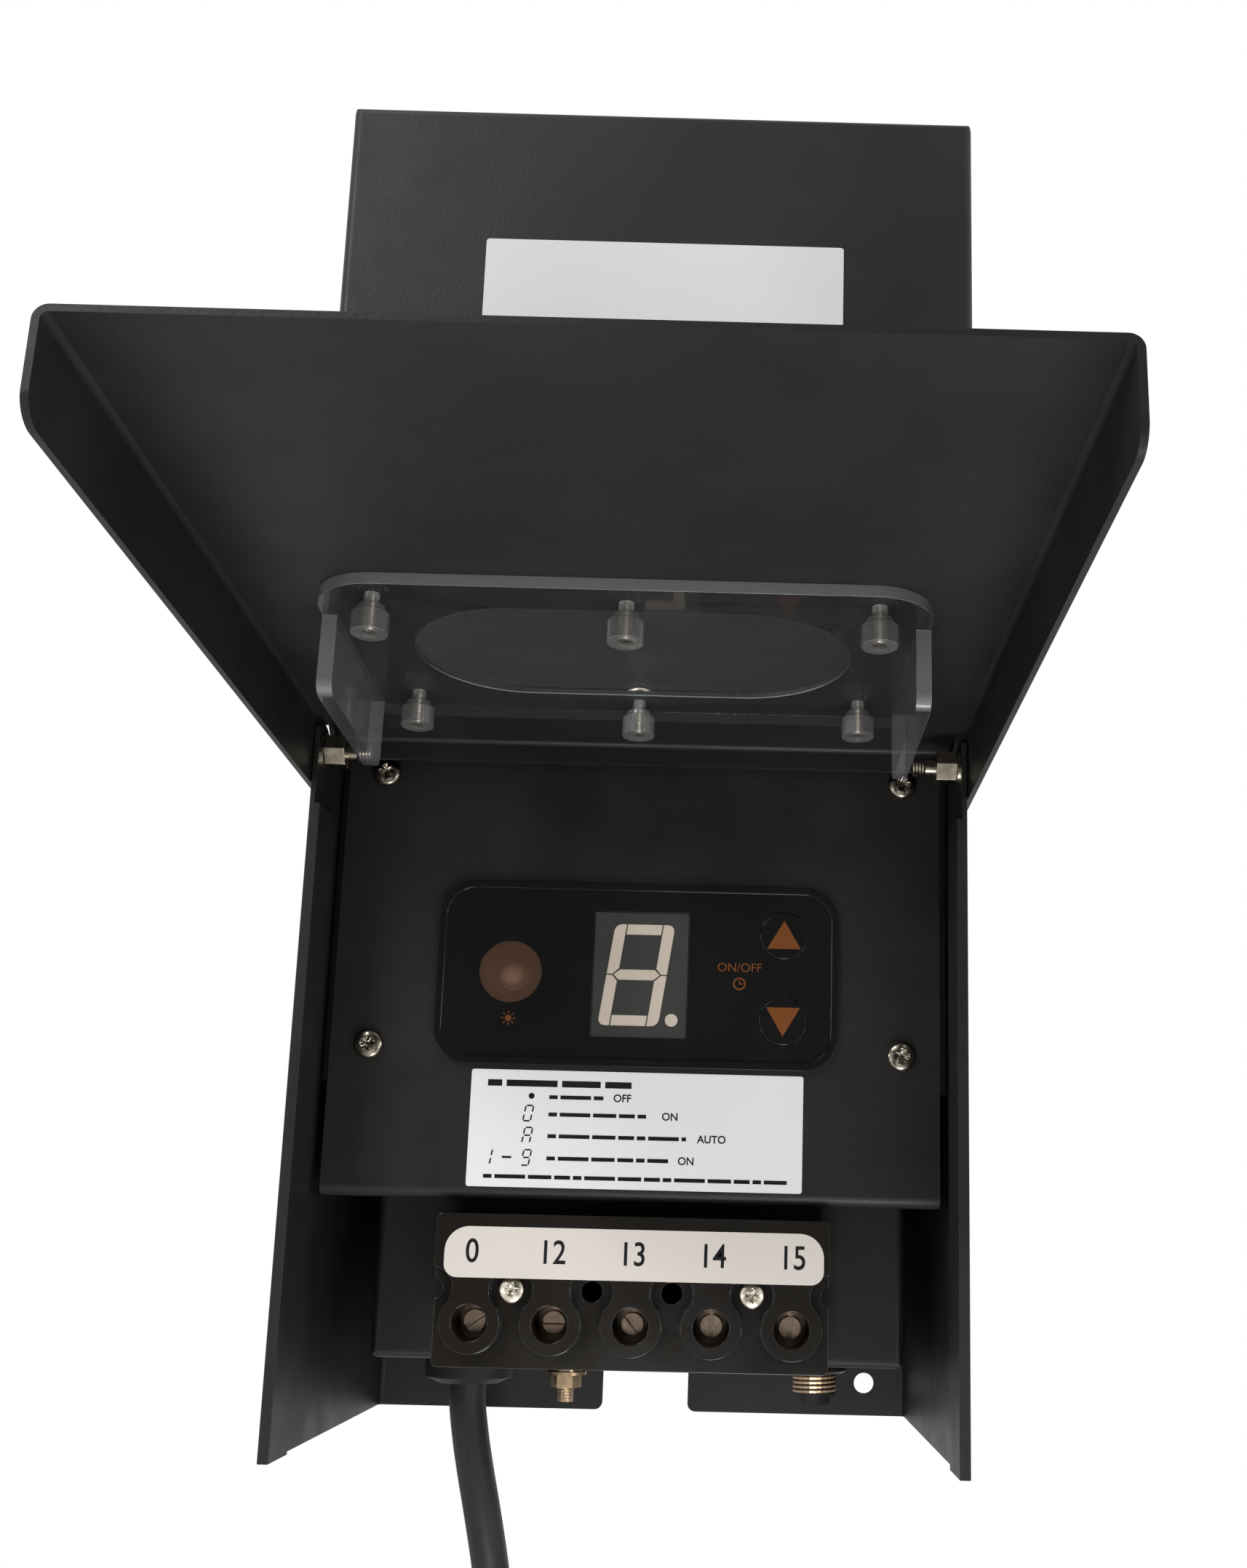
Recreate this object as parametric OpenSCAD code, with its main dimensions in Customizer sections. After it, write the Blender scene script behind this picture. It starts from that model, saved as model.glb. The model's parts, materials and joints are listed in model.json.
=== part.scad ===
/* [Enclosure] */
// Outside width of the box
body_w = 150; // [148:1:160]
// Height of the box with its cover on
body_h = 321; // [315:1:340]
// Depth of the side walls, from the wall face to their front edges
wall_d = 117; // [116:0.5:120]
// Thickness of the folded steel sheet
sheet_t = 1.2; // [1:0.1:1.3]
// Outer radius of the bends in the sheet
bend_r = 2.4; // [2:0.2:3]
// Width of the hem folded inside each front edge
hem_w = 15; // [12:0.5:16]
// Play on each side between the box and the cover or the door
slide_gap = 0.3; // [0.2:0.05:0.4]

/* [Wall fixings] */
// Diameter of the lower fixing hole
fixing_d = 5.6; // [4.5:0.1:6]
// Distance of the lower fixing hole from the box's middle
fixing_x = 62.6; // [60:0.2:64]
// Height of the lower fixing hole above the bottom edge
fixing_z = 8.8; // [8:0.2:12]
// Width of the cable notch in the bottom edge of the back
notch_w = 24; // [16:1:30]
// Height of the cable notch
notch_h = 17; // [12:1:18]
// Diameter of the keyhole's head opening
key_head_d = 10; // [8:0.5:12]
// Width of the keyhole's neck
key_neck_w = 5; // [4:0.25:6]
// Distance from the top of the box down to the keyhole's neck
key_drop = 12; // [10:1:16]

/* [Door and hinge] */
// Height of the hinge line above the bottom edge
pivot_z = 157; // [155:0.5:159]
// Distance of the hinge line behind the walls' front edges
pivot_edge = 4.5; // [4.2:0.1:4.8]
// Distance from the hinge line to the door's outer face
face_off = 9; // [8.8:0.1:9.4]
// How far the door reaches above the hinge line
door_above = 12; // [11.5:0.1:12.5]
// Gap between the closed door and the cover's lower edge
door_gap = 2; // [1.5:0.1:3]
// Depth of the door's side flanges
flange_d = 17.5; // [16:0.5:18.5]
// Depth of the lip along the hinge end of the door
lip_d = 6.4; // [5:0.2:6.6]
// Opening angle of the door as it stands
door_open = 92.6; // [90:0.1:95]
// Diameter of the hinge bolts
hinge_d = 4; // [3.5:0.1:4.5]
// Radial running clearance of the door on its bolts
hinge_play = 0.06; // [0.03:0.01:0.08]

/* [Door window] */
// Width of the rounded window in the door
window_w = 90; // [84:1:92]
// Height of the window
window_h = 44; // [40:1:46]
// Distance of the window's centre below the hinge line
window_drop = 42.5; // [42:0.5:46]
// Width of the clear lens
lens_w = 118; // [114:1:120]
// Height of the clear lens
lens_h = 68; // [66:0.5:70]
// Thickness of the lens's plate
lens_t = 2.4; // [2:0.1:3]
// Depth of the lens's side wings
wing_d = 16; // [12:0.5:16.5]
// Length of the lens's side wings
wing_l = 45; // [40:1:48]
// Diameter of the clear caps on the lens screws
cap_d = 7.2; // [6.8:0.1:7.6]
// Length of the caps with their necks
cap_l = 5.8; // [5:0.1:6.5]

/* [Control panel] */
// Width of the panel
panel_w = 143; // [140:0.5:144]
// Distance of the panel's front face from the wall face
panel_d = 96; // [94:0.5:97]
// Height of the panel's lower edge above the bottom edge
panel_z = 56.4; // [56:0.2:58]
// Height of the panel's upper screws above its lower screws
screw_rise = 66; // [64:0.5:68]
// Width of the display housing in the panel
bezel_w = 94.6; // [92:0.2:97]
// Height of the display housing
bezel_h = 43.6; // [42:0.2:46]
// Height of the display's centre above the bottom edge
display_z = 109; // [108:0.5:111]
// Diameter of the buttons
button_d = 11.4; // [10:0.2:12]
// Distance between the two buttons
button_rise = 20.4; // [18:0.2:22]
// Travel of the buttons
button_travel = 0.6; // [0.4:0.1:0.8]
// Height of the lit digit
digit_h = 24.2; // [22:0.2:25]

/* [Terminal block] */
// Distance between neighbouring poles
pole_pitch = 18.2; // [17.6:0.1:18.4]
// Number of poles
poles = 5; // [4:1:5]
// Height of the terminal block
block_h = 34.2; // [33.4:0.2:34.6]
// Depth of the terminal block
block_d = 27; // [26:0.5:28]
// Bore of the brass terminals for the cables
wire_d = 5.2; // [4.6:0.1:5.4]
// Diameter of the terminal screws
clamp_d = 5; // [4.6:0.1:5.2]

/* [Chassis] */
// Width of the terminal chassis
chassis_w = 129; // [126:1:132]
// Distance of its front face from the wall face
chassis_d = 71; // [70:0.5:72]
// Height of its floor above the bottom edge
floor_z = 18.4; // [18:0.2:19]

/* [Fittings under the floor] */
// Diameter of the mains cord
cord_d = 9.5; // [8.5:0.1:10]
// Diameter of the cord gland's head
gland_d = 22.6; // [20:0.2:23]
// Diameter of the earth stud
stud_d = 4; // [3.5:0.1:5]
// Diameter of the circuit breaker's threaded neck
breaker_d = 11; // [10:0.1:11.4]
// Travel of the breaker's reset button
reset_travel = 2; // [1:0.1:2.2]

/* [Transformer] */
// Width of the laminated core
core_w = 96; // [90:1:100]
// Height of the laminated core
core_h = 80; // [76:1:84]
// Depth of the stack of laminations
core_stack = 45; // [40:1:50]

/* [Hidden] */
$fn = 48;

// One overrun for every cut, and the play of pieces that sit tight in a hole
over = 1;
seat = 0.02;
snug = 0.1;

// Enclosure
wall_in = body_w / 2 - sheet_t;
top_in = body_h - sheet_t - slide_gap;
outer_w = body_w + 2 * (slide_gap + sheet_t);
pivot_d = wall_d - pivot_edge;
door_front = pivot_d + face_off;
door_back = door_front - sheet_t;
door_top = pivot_z + door_above;
cover_z = door_top + door_gap;
notch_x = 0.9;
notch_corner_r = 2.2;
shell_ear_r = face_off - 2 * sheet_t;
hinge_notch_r = face_off + sheet_t + 2 * slide_gap;
hem_top = pivot_z - hinge_notch_r - bend_r;

// Pan-head screws: head diameter and head height as shares of the thread's diameter
head_share = 1.97;
head_t_share = 0.6;
cover_screw_d = 3.4;
cover_screw_depth = wall_d / 4;
cover_screw_share = [0.15, 0.8];

// Hinge bolts
hinge_bore_r = hinge_d / 2 + hinge_play;
washer_r = hinge_d * 1.12;
washer_t = hinge_d * 0.2;
hinge_nut_af = hinge_d * 1.75;
hinge_nut_l = hinge_d * 1.2;
hinge_tail = hinge_d * 0.6;
hinge_head_r = hinge_d * 0.95;
hinge_head_t = hinge_d * 0.5;

// Door and lens
relief = face_off / 3;
mid_half = wall_in - slide_gap - sheet_t / 2;
flange_r = flange_d / 4;
window_z = pivot_z - window_drop;
lens_shift = 2.5;
lens_z = window_z - lens_shift;
lens_r = 12;
lens_near_r = 4;
wing_t = 3;
wing_r = 3;
wing_rise = 2.8;
wing_z = lens_z + wing_rise;
lens_screw_d = 3;
side_margin = 3.5;
far_margin = 4.7;
near_margin = 0.7;
lens_screw_x = window_w / 2 + side_margin;
lens_far_z = window_z - window_h / 2 - far_margin;
lens_near_z = window_z + window_h / 2 + near_margin;
cap_neck_r = cap_d * 0.375;
cap_neck_l = cap_l / 4;

// Control panel
ledge_z = pivot_z + sqrt(door_above * door_above + face_off * face_off) + 2 * sheet_t;
ledge_top = ledge_z + sheet_t;
ledge_front = door_back - slide_gap;
panel_return = 14;
panel_back = panel_d - sheet_t;
screw_edge = 9.1;
screw_x = panel_w / 2 - screw_edge;
screw_drop = 17.8;
screw_low_z = display_z - screw_drop;
panel_screw_d = 3.4;
bracket_lap = 6.6;
bracket_w = wall_in - screw_x + bracket_lap;
bracket_l = 24;
bracket_end = 8;

// Display housing
bezel_r = 8.5;
bezel_lap = 3.2;
bezel_rim = 1.6;
bezel_t = 1.4;
recess_t = 0.4;
housing_t = 1.6;
housing_l = 14;
housing_w = bezel_w - 2 * bezel_lap;
housing_h = bezel_h - 2 * bezel_lap;
housing_r = bezel_r - bezel_lap;
plate_front = panel_d + bezel_t - recess_t;
plate_back = plate_front - housing_t;
board_front = panel_back - housing_l;
display_x = 0.6;
display_w = 22.4;
display_h = 30;
display_recess = 0.3;
digit_w = 14.2;
digit_x = -0.9;
segment_w = 2.7;
segment_h = 2.45;
segment_r = 1.6;
segment_gap = 0.3;
segment_t = 0.6;
slant = tan(8);
dot_r = 1.5;
dot_x = 7.6;
photocell_x = -30;
photocell_d = 14.6;
sensor_r = 2.9;
sensor_rim = 0.5;
sensor_lead = 0.6;
button_x = 34.4;
button_play = 0.08;
button_collar = 0.8;
button_stem_r = 2;
switch_w = 6;
switch_h = 3.6;
boss_r = 3;
boss_screw_d = 2.4;
board_w = bezel_w;
board_lap = 3;
board_h = bezel_h + 2 * board_lap;
board_r = 2;
board_t = 1.6;
board_back = board_front - board_t;
boss_sink = boss_r * 0.75;
boss_x1 = housing_t + boss_sink - housing_w / 2;
boss_x2 = (display_x + display_w / 2 + button_x - button_d / 2) / 2;
boss_z = housing_h / 2 - housing_t - boss_sink;
relay_size = [32, 20, 27];
relay_x = -22;
capacitor_r = 6.5;
capacitor_l = 22;
capacitor_x = 34;
chip_size = [7, 3.4, 23];
chip_x = 13;
chip_pins = 8;
pin_w = 0.6;

// Terminal chassis and block
chassis_x = 1.6;
chassis_lap = 22;
chassis_top = panel_z + chassis_lap;
chassis_flange = 14;
block_x = 1.2;
block_z = floor_z + slide_gap;
block_w = pole_pitch * poles - sheet_t;
block_front = chassis_d + block_d;
block_r = 1.5;
collar_rise = 2.6;
collar_r = pole_pitch * 0.38;
waist_r = pole_pitch * 0.345;
recess_r = pole_pitch * 0.225;
mid_hole_r = pole_pitch * 0.13;
mid_ring_r = pole_pitch * 0.27;
clamp_z = block_z + block_h * 0.29;
mount_z = block_z + block_h * 0.506;
plateau_z = block_z + block_h * 0.57;
upper_z = block_z + block_h * 0.79;
barrel_play = 0.05;
barrel_t = 1.8;
barrel_r = wire_d / 2 + barrel_t;
barrel_depth = chassis_d + block_d * 0.43;
barrel_l = block_h * 0.86;
barrel_z = block_z + block_h * 0.05;
clamp_stand = 1.4;
clamp_l = barrel_r + clamp_stand;
clamp_slot_w = 1;
clamp_slot_d = 1.2;
clamp_turns = [35, 0, -50, 90, 85];
block_screw_d = 3;

// Fittings under the floor
fit_depth = 38;
cord_x = -43.4;
earth_x = -18.2;
breaker_x = 46.4;
gland_drop = 8.2;
gland_rim = 6.6;
gland_t = 3;
gland_grip = 2;
gland_neck_r = cord_d / 2 + gland_t;
gland_rise = 9;
gland_nut_t = 4;
earth_up = 9;
earth_down = 12.5;
earth_end_l = 3;
earth_groove_l = 1.2;
earth_groove_r = stud_d * 0.4;
earth_nut_af = stud_d * 1.75;
earth_nut_t = stud_d * 0.8;
earth_washer_r = stud_d * 1.3;
earth_washer_t = stud_d * 0.2;
earth_lock_t = stud_d * 0.225;
breaker_neck_l = 9.2;
breaker_nut_t = 3.7;
breaker_nut_r = breaker_d * 0.745;
breaker_nut_edge = breaker_nut_t / 6;
breaker_body = [32, 14.4, 34];
reset_r = breaker_d * 0.37;
reset_show = 2.4;
reset_play = 0.1;

// Transformer
core_z = (cover_z + body_h) / 2;
core_back = 38;
leg_w = core_w / 3;
slot_w = core_w / 6;
slot_h = core_h - leg_w;
bobbin_t = 1.5;
bobbin_play = 0.4;
bobbin_reach = slot_w - 2 * bobbin_play;
winding_t = bobbin_reach - bobbin_play - 2 * bobbin_t;
primary_share = 0.55;
core_stud_d = 5;
core_stud_x = core_w / 2 - leg_w / 4;
core_stud_z = core_h / 2 - leg_w / 4;
core_nut_af = core_stud_d * 1.6;
core_nut_t = core_stud_d * 0.8;
spacer_r = core_stud_d * 1.1;

// The cord's free stretches, z measured from the box's bottom edge
cord_route = [[-43.4, -38, 10.2], [-43.4, -38, 5], [-42.4, -38, -2], [-40.6, -38, -11], [-38, -37.2, -23],
    [-35.4, -34.4, -38], [-33.6, -29, -56], [-33, -22.7, -74], [-33, -18.4, -90], [-33, -17, -102]];
tail_route = [[-33, -7, -122], [-33, -7, -132], [-34, -7.6, -145], [-36, -9.2, -158], [-38, -10.9, -170],
    [-39, -11.8, -181], [-39, -12, -192]];
cord_sides = 8;

coil_centre = [31, -17, -112];
coil_r = 64;
coil_turns = 4;
coil_step = 10;
coil_lead = 10;
coil_rings = 24;
coil_sides = 6;
tie_w = 8;
tie_t = 1.5;
tie_play = 0.3;
plug_x = -39;
plug_depth = 12;
plug_z = -192;
plug_l = 44;
plug_neck_t = 2;
plug_neck_r = cord_d / 2 + plug_neck_t;
plug_neck_l = 16;
plug_w = 27;
plug_h = 22;
plug_base = 12;
blade_w = 6.3;
blade_t = 1.5;
blade_l = 17;
blade_gap = 12.7;
pin_d = 4.8;
pin_l = 21;
pin_off = 7.5;

function unit(v) = v / norm(v);
function across(t) = unit([0, 1, 0] - t[1] * t);
function heading(path, i) = unit(path[min(i + 1, len(path) - 1)] - path[max(i - 1, 0)]);
function ring_points(p, t, r, n) =
    [for (k = [0:n - 1]) p + r * (cos(360 * k / n) * across(t) + sin(360 * k / n) * cross(t, across(t)))];

module from_bottom() translate([0, 0, -body_h / 2]) children();

// A flat shape drawn in x and z, with its thickness from a depth towards the front
module facing(depth, t) translate([0, -depth, 0]) rotate([90, 0, 0]) linear_extrude(t) children();

// A flat shape drawn in depth and z, with its thickness along x
module sideways(x, t) translate([x + t, 0, 0]) rotate([90, 0, -90]) linear_extrude(t) children();

module rod_y(x, depth, z, r, l) facing(depth, l) translate([x, z]) circle(r);
module rod_x(x, depth, z, r, l) sideways(x, l) translate([depth, z]) circle(r);
module rod_z(x, depth, z, r, l) translate([x, -depth, z]) cylinder(r = r, h = l);
module hex(af) circle(af / sqrt(3), $fn = 6);
module both_sides() for (side = [0, 1]) mirror([side, 0, 0]) children();

// A centred rectangle with four round corners
module rounded(w, h, r) {
    square([w - 2 * r, h], center = true);
    square([w, h - 2 * r], center = true);
    for (x = [-1, 1], y = [-1, 1]) translate([x * (w / 2 - r), y * (h / 2 - r)]) circle(r);
}

// A rectangle that stands on the x axis, with its two upper corners round
module arch(w, h, r) {
    translate([-w / 2, 0]) square([w, h - r]);
    translate([r - w / 2, 0]) square([w - 2 * r, h]);
    for (x = [-1, 1]) translate([x * (w / 2 - r), h - r]) circle(r);
}

// What is cut away to round a plate's lower left corner, at the origin
module corner_cut(r) difference() {
    translate([-over, -over]) square(r + over);
    translate([r, r]) circle(r);
}

// A box bent from sheet, with its front, its top and its sides meeting in round edges
module bent_box(w, d, h, r) intersection() {
    facing(0, d) arch(w, h, r);
    linear_extrude(h) mirror([0, 1]) arch(w, d, r);
    sideways(-w / 2, w) {
        square([d - r, h]);
        square([d, h - r]);
        translate([d - r, h - r]) circle(r);
    }
}
module bent_tray(w, d, h) difference() {
    bent_box(w, d, h, bend_r);
    translate([0, over, -over])
        bent_box(w - 2 * sheet_t, d + over - sheet_t, h + over - sheet_t, bend_r - sheet_t);
}

// The section of a bent sheet, its outer corner at the origin
module angle(a, b) difference() {
    union() {
        translate([bend_r, 0]) square([a - bend_r, sheet_t]);
        translate([0, bend_r]) square([sheet_t, b - bend_r]);
        intersection() {
            translate([bend_r, bend_r]) circle(bend_r);
            square(bend_r);
        }
    }
    translate([bend_r, bend_r]) circle(bend_r - sheet_t);
}

// A pan-head screw that points down, its head standing on the origin
module pan_screw(d, l) {
    head_r = d * head_share / 2;
    head_t = d * head_t_share;
    difference() {
        intersection() {
            cylinder(r = head_r, h = head_t);
            translate([0, 0, head_t - 2 * head_r]) sphere(2 * head_r);
        }
        for (turn = [0, 90]) rotate(turn) translate([-d / 2, -d / 8, head_t / 2]) cube([d, d / 4, head_t]);
    }
    translate([0, 0, -l]) cylinder(d = d, h = l);
}
module screw_in(x, depth, z, d, l) translate([x, -depth, z]) rotate([90, 0, 0]) pan_screw(d, l);

// A round tube swept along a path that never runs along y
module tube(path, r, n) {
    rings = len(path);
    points = [for (i = [0:rings - 1]) each ring_points(path[i], heading(path, i), r, n)];
    sides = [for (i = [0:rings - 2], k = [0:n - 1])
        let (a = i * n + k, b = i * n + (k + 1) % n)
        each [[a, b, a + n], [b, b + n, a + n]]];
    last = (rings - 1) * n;
    ends = [for (k = [1:n - 2]) each [[0, k + 1, k], [last, last + k, last + k + 1]]];
    polyhedron(points = points, faces = concat(sides, ends));
}

// Enclosure
module shell_plan() difference() {
    translate([0, -wall_d]) arch(body_w, wall_d, bend_r);
    translate([0, -wall_d - over]) arch(body_w - 2 * sheet_t, wall_d + over - sheet_t, bend_r - sheet_t);
}
module keyhole() {
    translate([0, top_in - key_drop - key_head_d]) circle(key_head_d / 2);
    translate([0, top_in - key_drop]) circle(key_neck_w / 2);
    translate([-key_neck_w / 2, top_in - key_drop - key_head_d]) square([key_neck_w, key_head_d]);
}
module hinge_notch() difference() {
    translate([pivot_d, pivot_z]) circle(hinge_notch_r);
    translate([pivot_d, pivot_z]) circle(shell_ear_r);
    translate([0, pivot_z - hinge_notch_r]) square([door_front + over, hinge_notch_r]);
}
module cover_screw_places() for (share = cover_screw_share)
    translate([0, -cover_screw_depth, cover_z + (body_h - cover_z) * share]) rotate([0, 90, 0]) children();
module enclosure_shell() color([0.1, 0.1, 0.1]) from_bottom() difference() {
    union() {
        linear_extrude(top_in) shell_plan();
        both_sides() sideways(wall_in - sheet_t, sheet_t) translate([wall_d - hem_w, 0])
            square([hem_w, hem_top]);
    }
    facing(-over, sheet_t + 2 * over) translate([notch_x, 0]) {
        translate([0, -over]) arch(notch_w, notch_h + over, bend_r);
        both_sides() translate([notch_w / 2, 0]) corner_cut(notch_corner_r);
    }
    rod_y(fixing_x, -over, fixing_z, fixing_d / 2, sheet_t + 2 * over);
    facing(-over, sheet_t + 2 * over) keyhole();
    sideways(-body_w, 2 * body_w) hinge_notch();
    rod_x(-body_w, pivot_d, pivot_z, hinge_d / 2 + seat, 2 * body_w);
    cover_screw_places() cylinder(d = cover_screw_d + 2 * seat, h = 2 * body_w, center = true);
}
module cover() color([0.11, 0.11, 0.11]) from_bottom() difference() {
    translate([0, 0, cover_z]) bent_tray(outer_w, door_front, body_h - cover_z);
    cover_screw_places() cylinder(d = cover_screw_d + 2 * seat, h = 2 * body_w, center = true);
}
module cover_screws() color([0.55, 0.54, 0.5]) from_bottom() both_sides() cover_screw_places()
    translate([0, 0, outer_w / 2]) pan_screw(cover_screw_d, outer_w / 2 - wall_in + 2 * sheet_t);

// Control panel
module panel_section() {
    leg = ledge_top - panel_z - bend_r;
    translate([panel_d, panel_z]) mirror([1, 0]) angle(panel_return, leg);
    translate([panel_back, ledge_top]) mirror([0, 1]) angle(ledge_front - panel_back, leg);
}
module panel_screw_places() both_sides() for (rise = [0, screw_rise])
    translate([screw_x, 0, screw_low_z + rise]) children();
module housing_outline(play) translate([0, display_z])
    rounded(housing_w + 2 * play, housing_h + 2 * play, housing_r + play);
module control_panel() color([0.12, 0.12, 0.13]) from_bottom() difference() {
    sideways(-panel_w / 2, panel_w) panel_section();
    facing(panel_back - over, sheet_t + 2 * over) housing_outline(snug);
    panel_screw_places() rod_y(0, panel_back - over, 0, panel_screw_d / 2 + seat, sheet_t + 2 * over);
}
module panel_brackets() color([0.14, 0.14, 0.14]) from_bottom() difference() {
    both_sides() translate([0, 0, screw_low_z - bracket_end]) linear_extrude(screw_rise + 2 * bracket_end)
        translate([wall_in, -panel_back]) mirror([1, 0]) angle(bracket_w, bracket_l);
    panel_screw_places() rod_y(0, panel_back - bracket_l, 0, panel_screw_d / 2 + seat, bracket_l + over);
}
module panel_screws() color([0.62, 0.6, 0.55]) from_bottom() panel_screw_places()
    screw_in(0, panel_d, 0, panel_screw_d, 4 * sheet_t);

// Display housing
module boss_places() for (x = [boss_x1, boss_x2], side = [-1, 1])
    translate([x, display_z + side * boss_z]) children();
module button_places() for (side = [-1, 1])
    translate([button_x, display_z + side * button_rise / 2]) children();
module display_housing() color([0.04, 0.04, 0.045]) from_bottom() difference() {
    union() {
        facing(panel_d, bezel_t) translate([0, display_z]) rounded(bezel_w, bezel_h, bezel_r);
        facing(board_front, panel_d - board_front) housing_outline(0);
    }
    facing(plate_front, over) translate([0, display_z])
        rounded(bezel_w - 2 * bezel_rim, bezel_h - 2 * bezel_rim, bezel_r - bezel_rim);
    facing(board_front - over, plate_back - board_front + over) difference() {
        housing_outline(-housing_t);
        boss_places() circle(boss_r);
    }
    facing(board_front - over, bezel_t + panel_d - board_front + over) {
        translate([display_x, display_z]) square([display_w, display_h], center = true);
        translate([photocell_x, display_z]) circle(photocell_d / 2);
        button_places() circle(button_d / 2 + button_play);
    }
    facing(board_front - over, housing_l / 2 + over) boss_places() circle(boss_screw_d / 2 + seat);
}
function leaned(p) = [digit_x + p[0] + p[1] * slant, p[1]];
module segment(points) polygon([for (p = points) leaned(p)]);
module segments_outline() {
    w = digit_w / 2;
    h = digit_h / 2;
    t = segment_w;
    g = segment_gap;
    bar_x = w - t - g;
    bar_z = segment_h / 2;
    round_end = [for (a = [0:30:90]) [segment_r * (1 - cos(a)), h - segment_r * (1 - sin(a))]];
    upright = concat([[0, g / 2]], round_end, [[t, h], [t, bar_z + g], [t / 2, g / 2]]);
    for (up = [-1, 1]) {
        segment([[-bar_x, up * h], [bar_x, up * h], [bar_x, up * (h - segment_h)],
            [-bar_x, up * (h - segment_h)]]);
        for (side = [-1, 1]) segment([for (p = upright) [side * (w - p[0]), up * p[1]]]);
    }
    segment([[-bar_x - t / 2, 0], [-bar_x, bar_z], [bar_x, bar_z], [bar_x + t / 2, 0],
        [bar_x, -bar_z], [-bar_x, -bar_z]]);
    translate([dot_x, dot_r - h]) circle(dot_r);
}
module digit_module() color([0.2, 0.21, 0.22]) from_bottom() difference() {
    facing(board_front, plate_front - display_recess - board_front) translate([display_x, display_z])
        square([display_w - 2 * snug, display_h - 2 * snug], center = true);
    facing(plate_front - display_recess - segment_t, over)
        translate([display_x, display_z]) segments_outline();
}
module digit_segments() color([0.93, 0.9, 0.85]) from_bottom()
    facing(plate_front - display_recess - segment_t, segment_t)
        translate([display_x, display_z]) segments_outline();
module photocell_window() color([0.32, 0.14, 0.1, 0.8]) from_bottom()
    rod_y(photocell_x, plate_back, display_z, photocell_d / 2 - seat, housing_t);
module photocell_sensor() color([0.75, 0.72, 0.7, 0.7]) from_bottom() translate([photocell_x, 0, display_z]) {
    dome = plate_back - slide_gap - sensor_r;
    rod_y(0, dome - sensor_r, 0, sensor_r, sensor_r);
    translate([0, -dome, 0]) sphere(sensor_r);
    rod_y(0, dome - sensor_r, 0, sensor_r + sensor_rim, 2 * sensor_rim);
    for (side = [-1, 1]) translate([side * sensor_r / 2 - sensor_lead / 2, sensor_r - dome, -sensor_lead / 2])
        cube([sensor_lead, dome - sensor_r - board_front, sensor_lead]);
}
module button_at(z) from_bottom() {
    collar = button_d / 2 + button_collar;
    collar_back = plate_back - button_collar - snug;
    stem_back = board_front + switch_h + button_travel + snug;
    rod_y(button_x, collar_back, z, button_d / 2, plate_front + recess_t / 2 - collar_back);
    rod_y(button_x, collar_back, z, collar, button_collar);
    rod_y(button_x, stem_back, z, button_stem_r, collar_back + snug - stem_back);
}
module button_up() color([0.05, 0.05, 0.055]) button_at(display_z + button_rise / 2);
module button_down() color([0.05, 0.05, 0.055]) button_at(display_z - button_rise / 2);
module control_board() color([0.1, 0.3, 0.16]) from_bottom() {
    difference() {
        facing(board_back, board_t) translate([0, display_z]) rounded(board_w, board_h, board_r);
        facing(board_back - over, board_t + 2 * over) boss_places() circle(boss_screw_d / 2 + seat);
    }
    facing(board_front, switch_h) button_places() square(switch_w, center = true);
}
module board_screws() color([0.6, 0.6, 0.58]) from_bottom() translate([0, -board_back, 0]) rotate([90, 0, 0])
    boss_places() rotate([180, 0, 0]) pan_screw(boss_screw_d, board_t + housing_l / 3);
module relay() color([0.08, 0.09, 0.1]) from_bottom()
    translate([relay_x - relay_size[0] / 2, -board_back, display_z - relay_size[2] / 2]) cube(relay_size);
module capacitor() color([0.12, 0.16, 0.3]) from_bottom()
    rod_y(capacitor_x, board_back - capacitor_l, display_z, capacitor_r, capacitor_l);
module controller_chip() color([0.06, 0.06, 0.06]) from_bottom() translate([chip_x, -board_back, display_z]) {
    translate([-chip_size[0] / 2, pin_w, -chip_size[2] / 2]) cube(chip_size);
    pitch = chip_size[2] / (chip_pins + 1);
    for (side = [-1, 1], i = [1:chip_pins])
        translate([side * (chip_size[0] + pin_w) / 2 - pin_w / 2, 0, i * pitch - (chip_size[2] + pin_w) / 2])
            cube([pin_w, chip_size[1] / 2, pin_w]);
}

// Terminal chassis and block
function pole_x(i) = block_x + (i - (poles - 1) / 2) * pole_pitch;
function between_x(i) = pole_x(i) + pole_pitch / 2;
module chassis_holes() {
    rod_z(cord_x, fit_depth, floor_z - over, gland_neck_r + seat, sheet_t + 2 * over);
    rod_z(earth_x, fit_depth, floor_z - over, stud_d / 2 + seat, sheet_t + 2 * over);
    rod_z(breaker_x, fit_depth, floor_z - over, breaker_d / 2 + seat, sheet_t + 2 * over);
}
module terminal_chassis() color([0.1, 0.1, 0.11]) from_bottom() difference() {
    union() {
        translate([chassis_x, -sheet_t, chassis_top]) mirror([0, 0, 1])
            bent_tray(chassis_w, chassis_d - sheet_t, chassis_top - floor_z);
        facing(sheet_t, sheet_t) translate([chassis_x - chassis_w / 2 + bend_r, floor_z])
            square([chassis_w - 2 * bend_r, chassis_flange]);
    }
    chassis_holes();
    for (i = [0, poles - 2])
        rod_y(between_x(i), chassis_d - sheet_t - over, mount_z,
            block_screw_d / 2 + seat, sheet_t + 2 * over);
}
module collar_outline() {
    for (i = [0:poles - 1]) {
        translate([pole_x(i), clamp_z]) circle(collar_r);
        translate([pole_x(i) - waist_r, clamp_z]) square([2 * waist_r, plateau_z - clamp_z]);
    }
    translate([block_x - block_w / 2, plateau_z]) square([block_w, block_z + block_h - plateau_z]);
}
module block_outline() translate([block_x, block_z + block_h / 2]) rounded(block_w, block_h, block_r);
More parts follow.
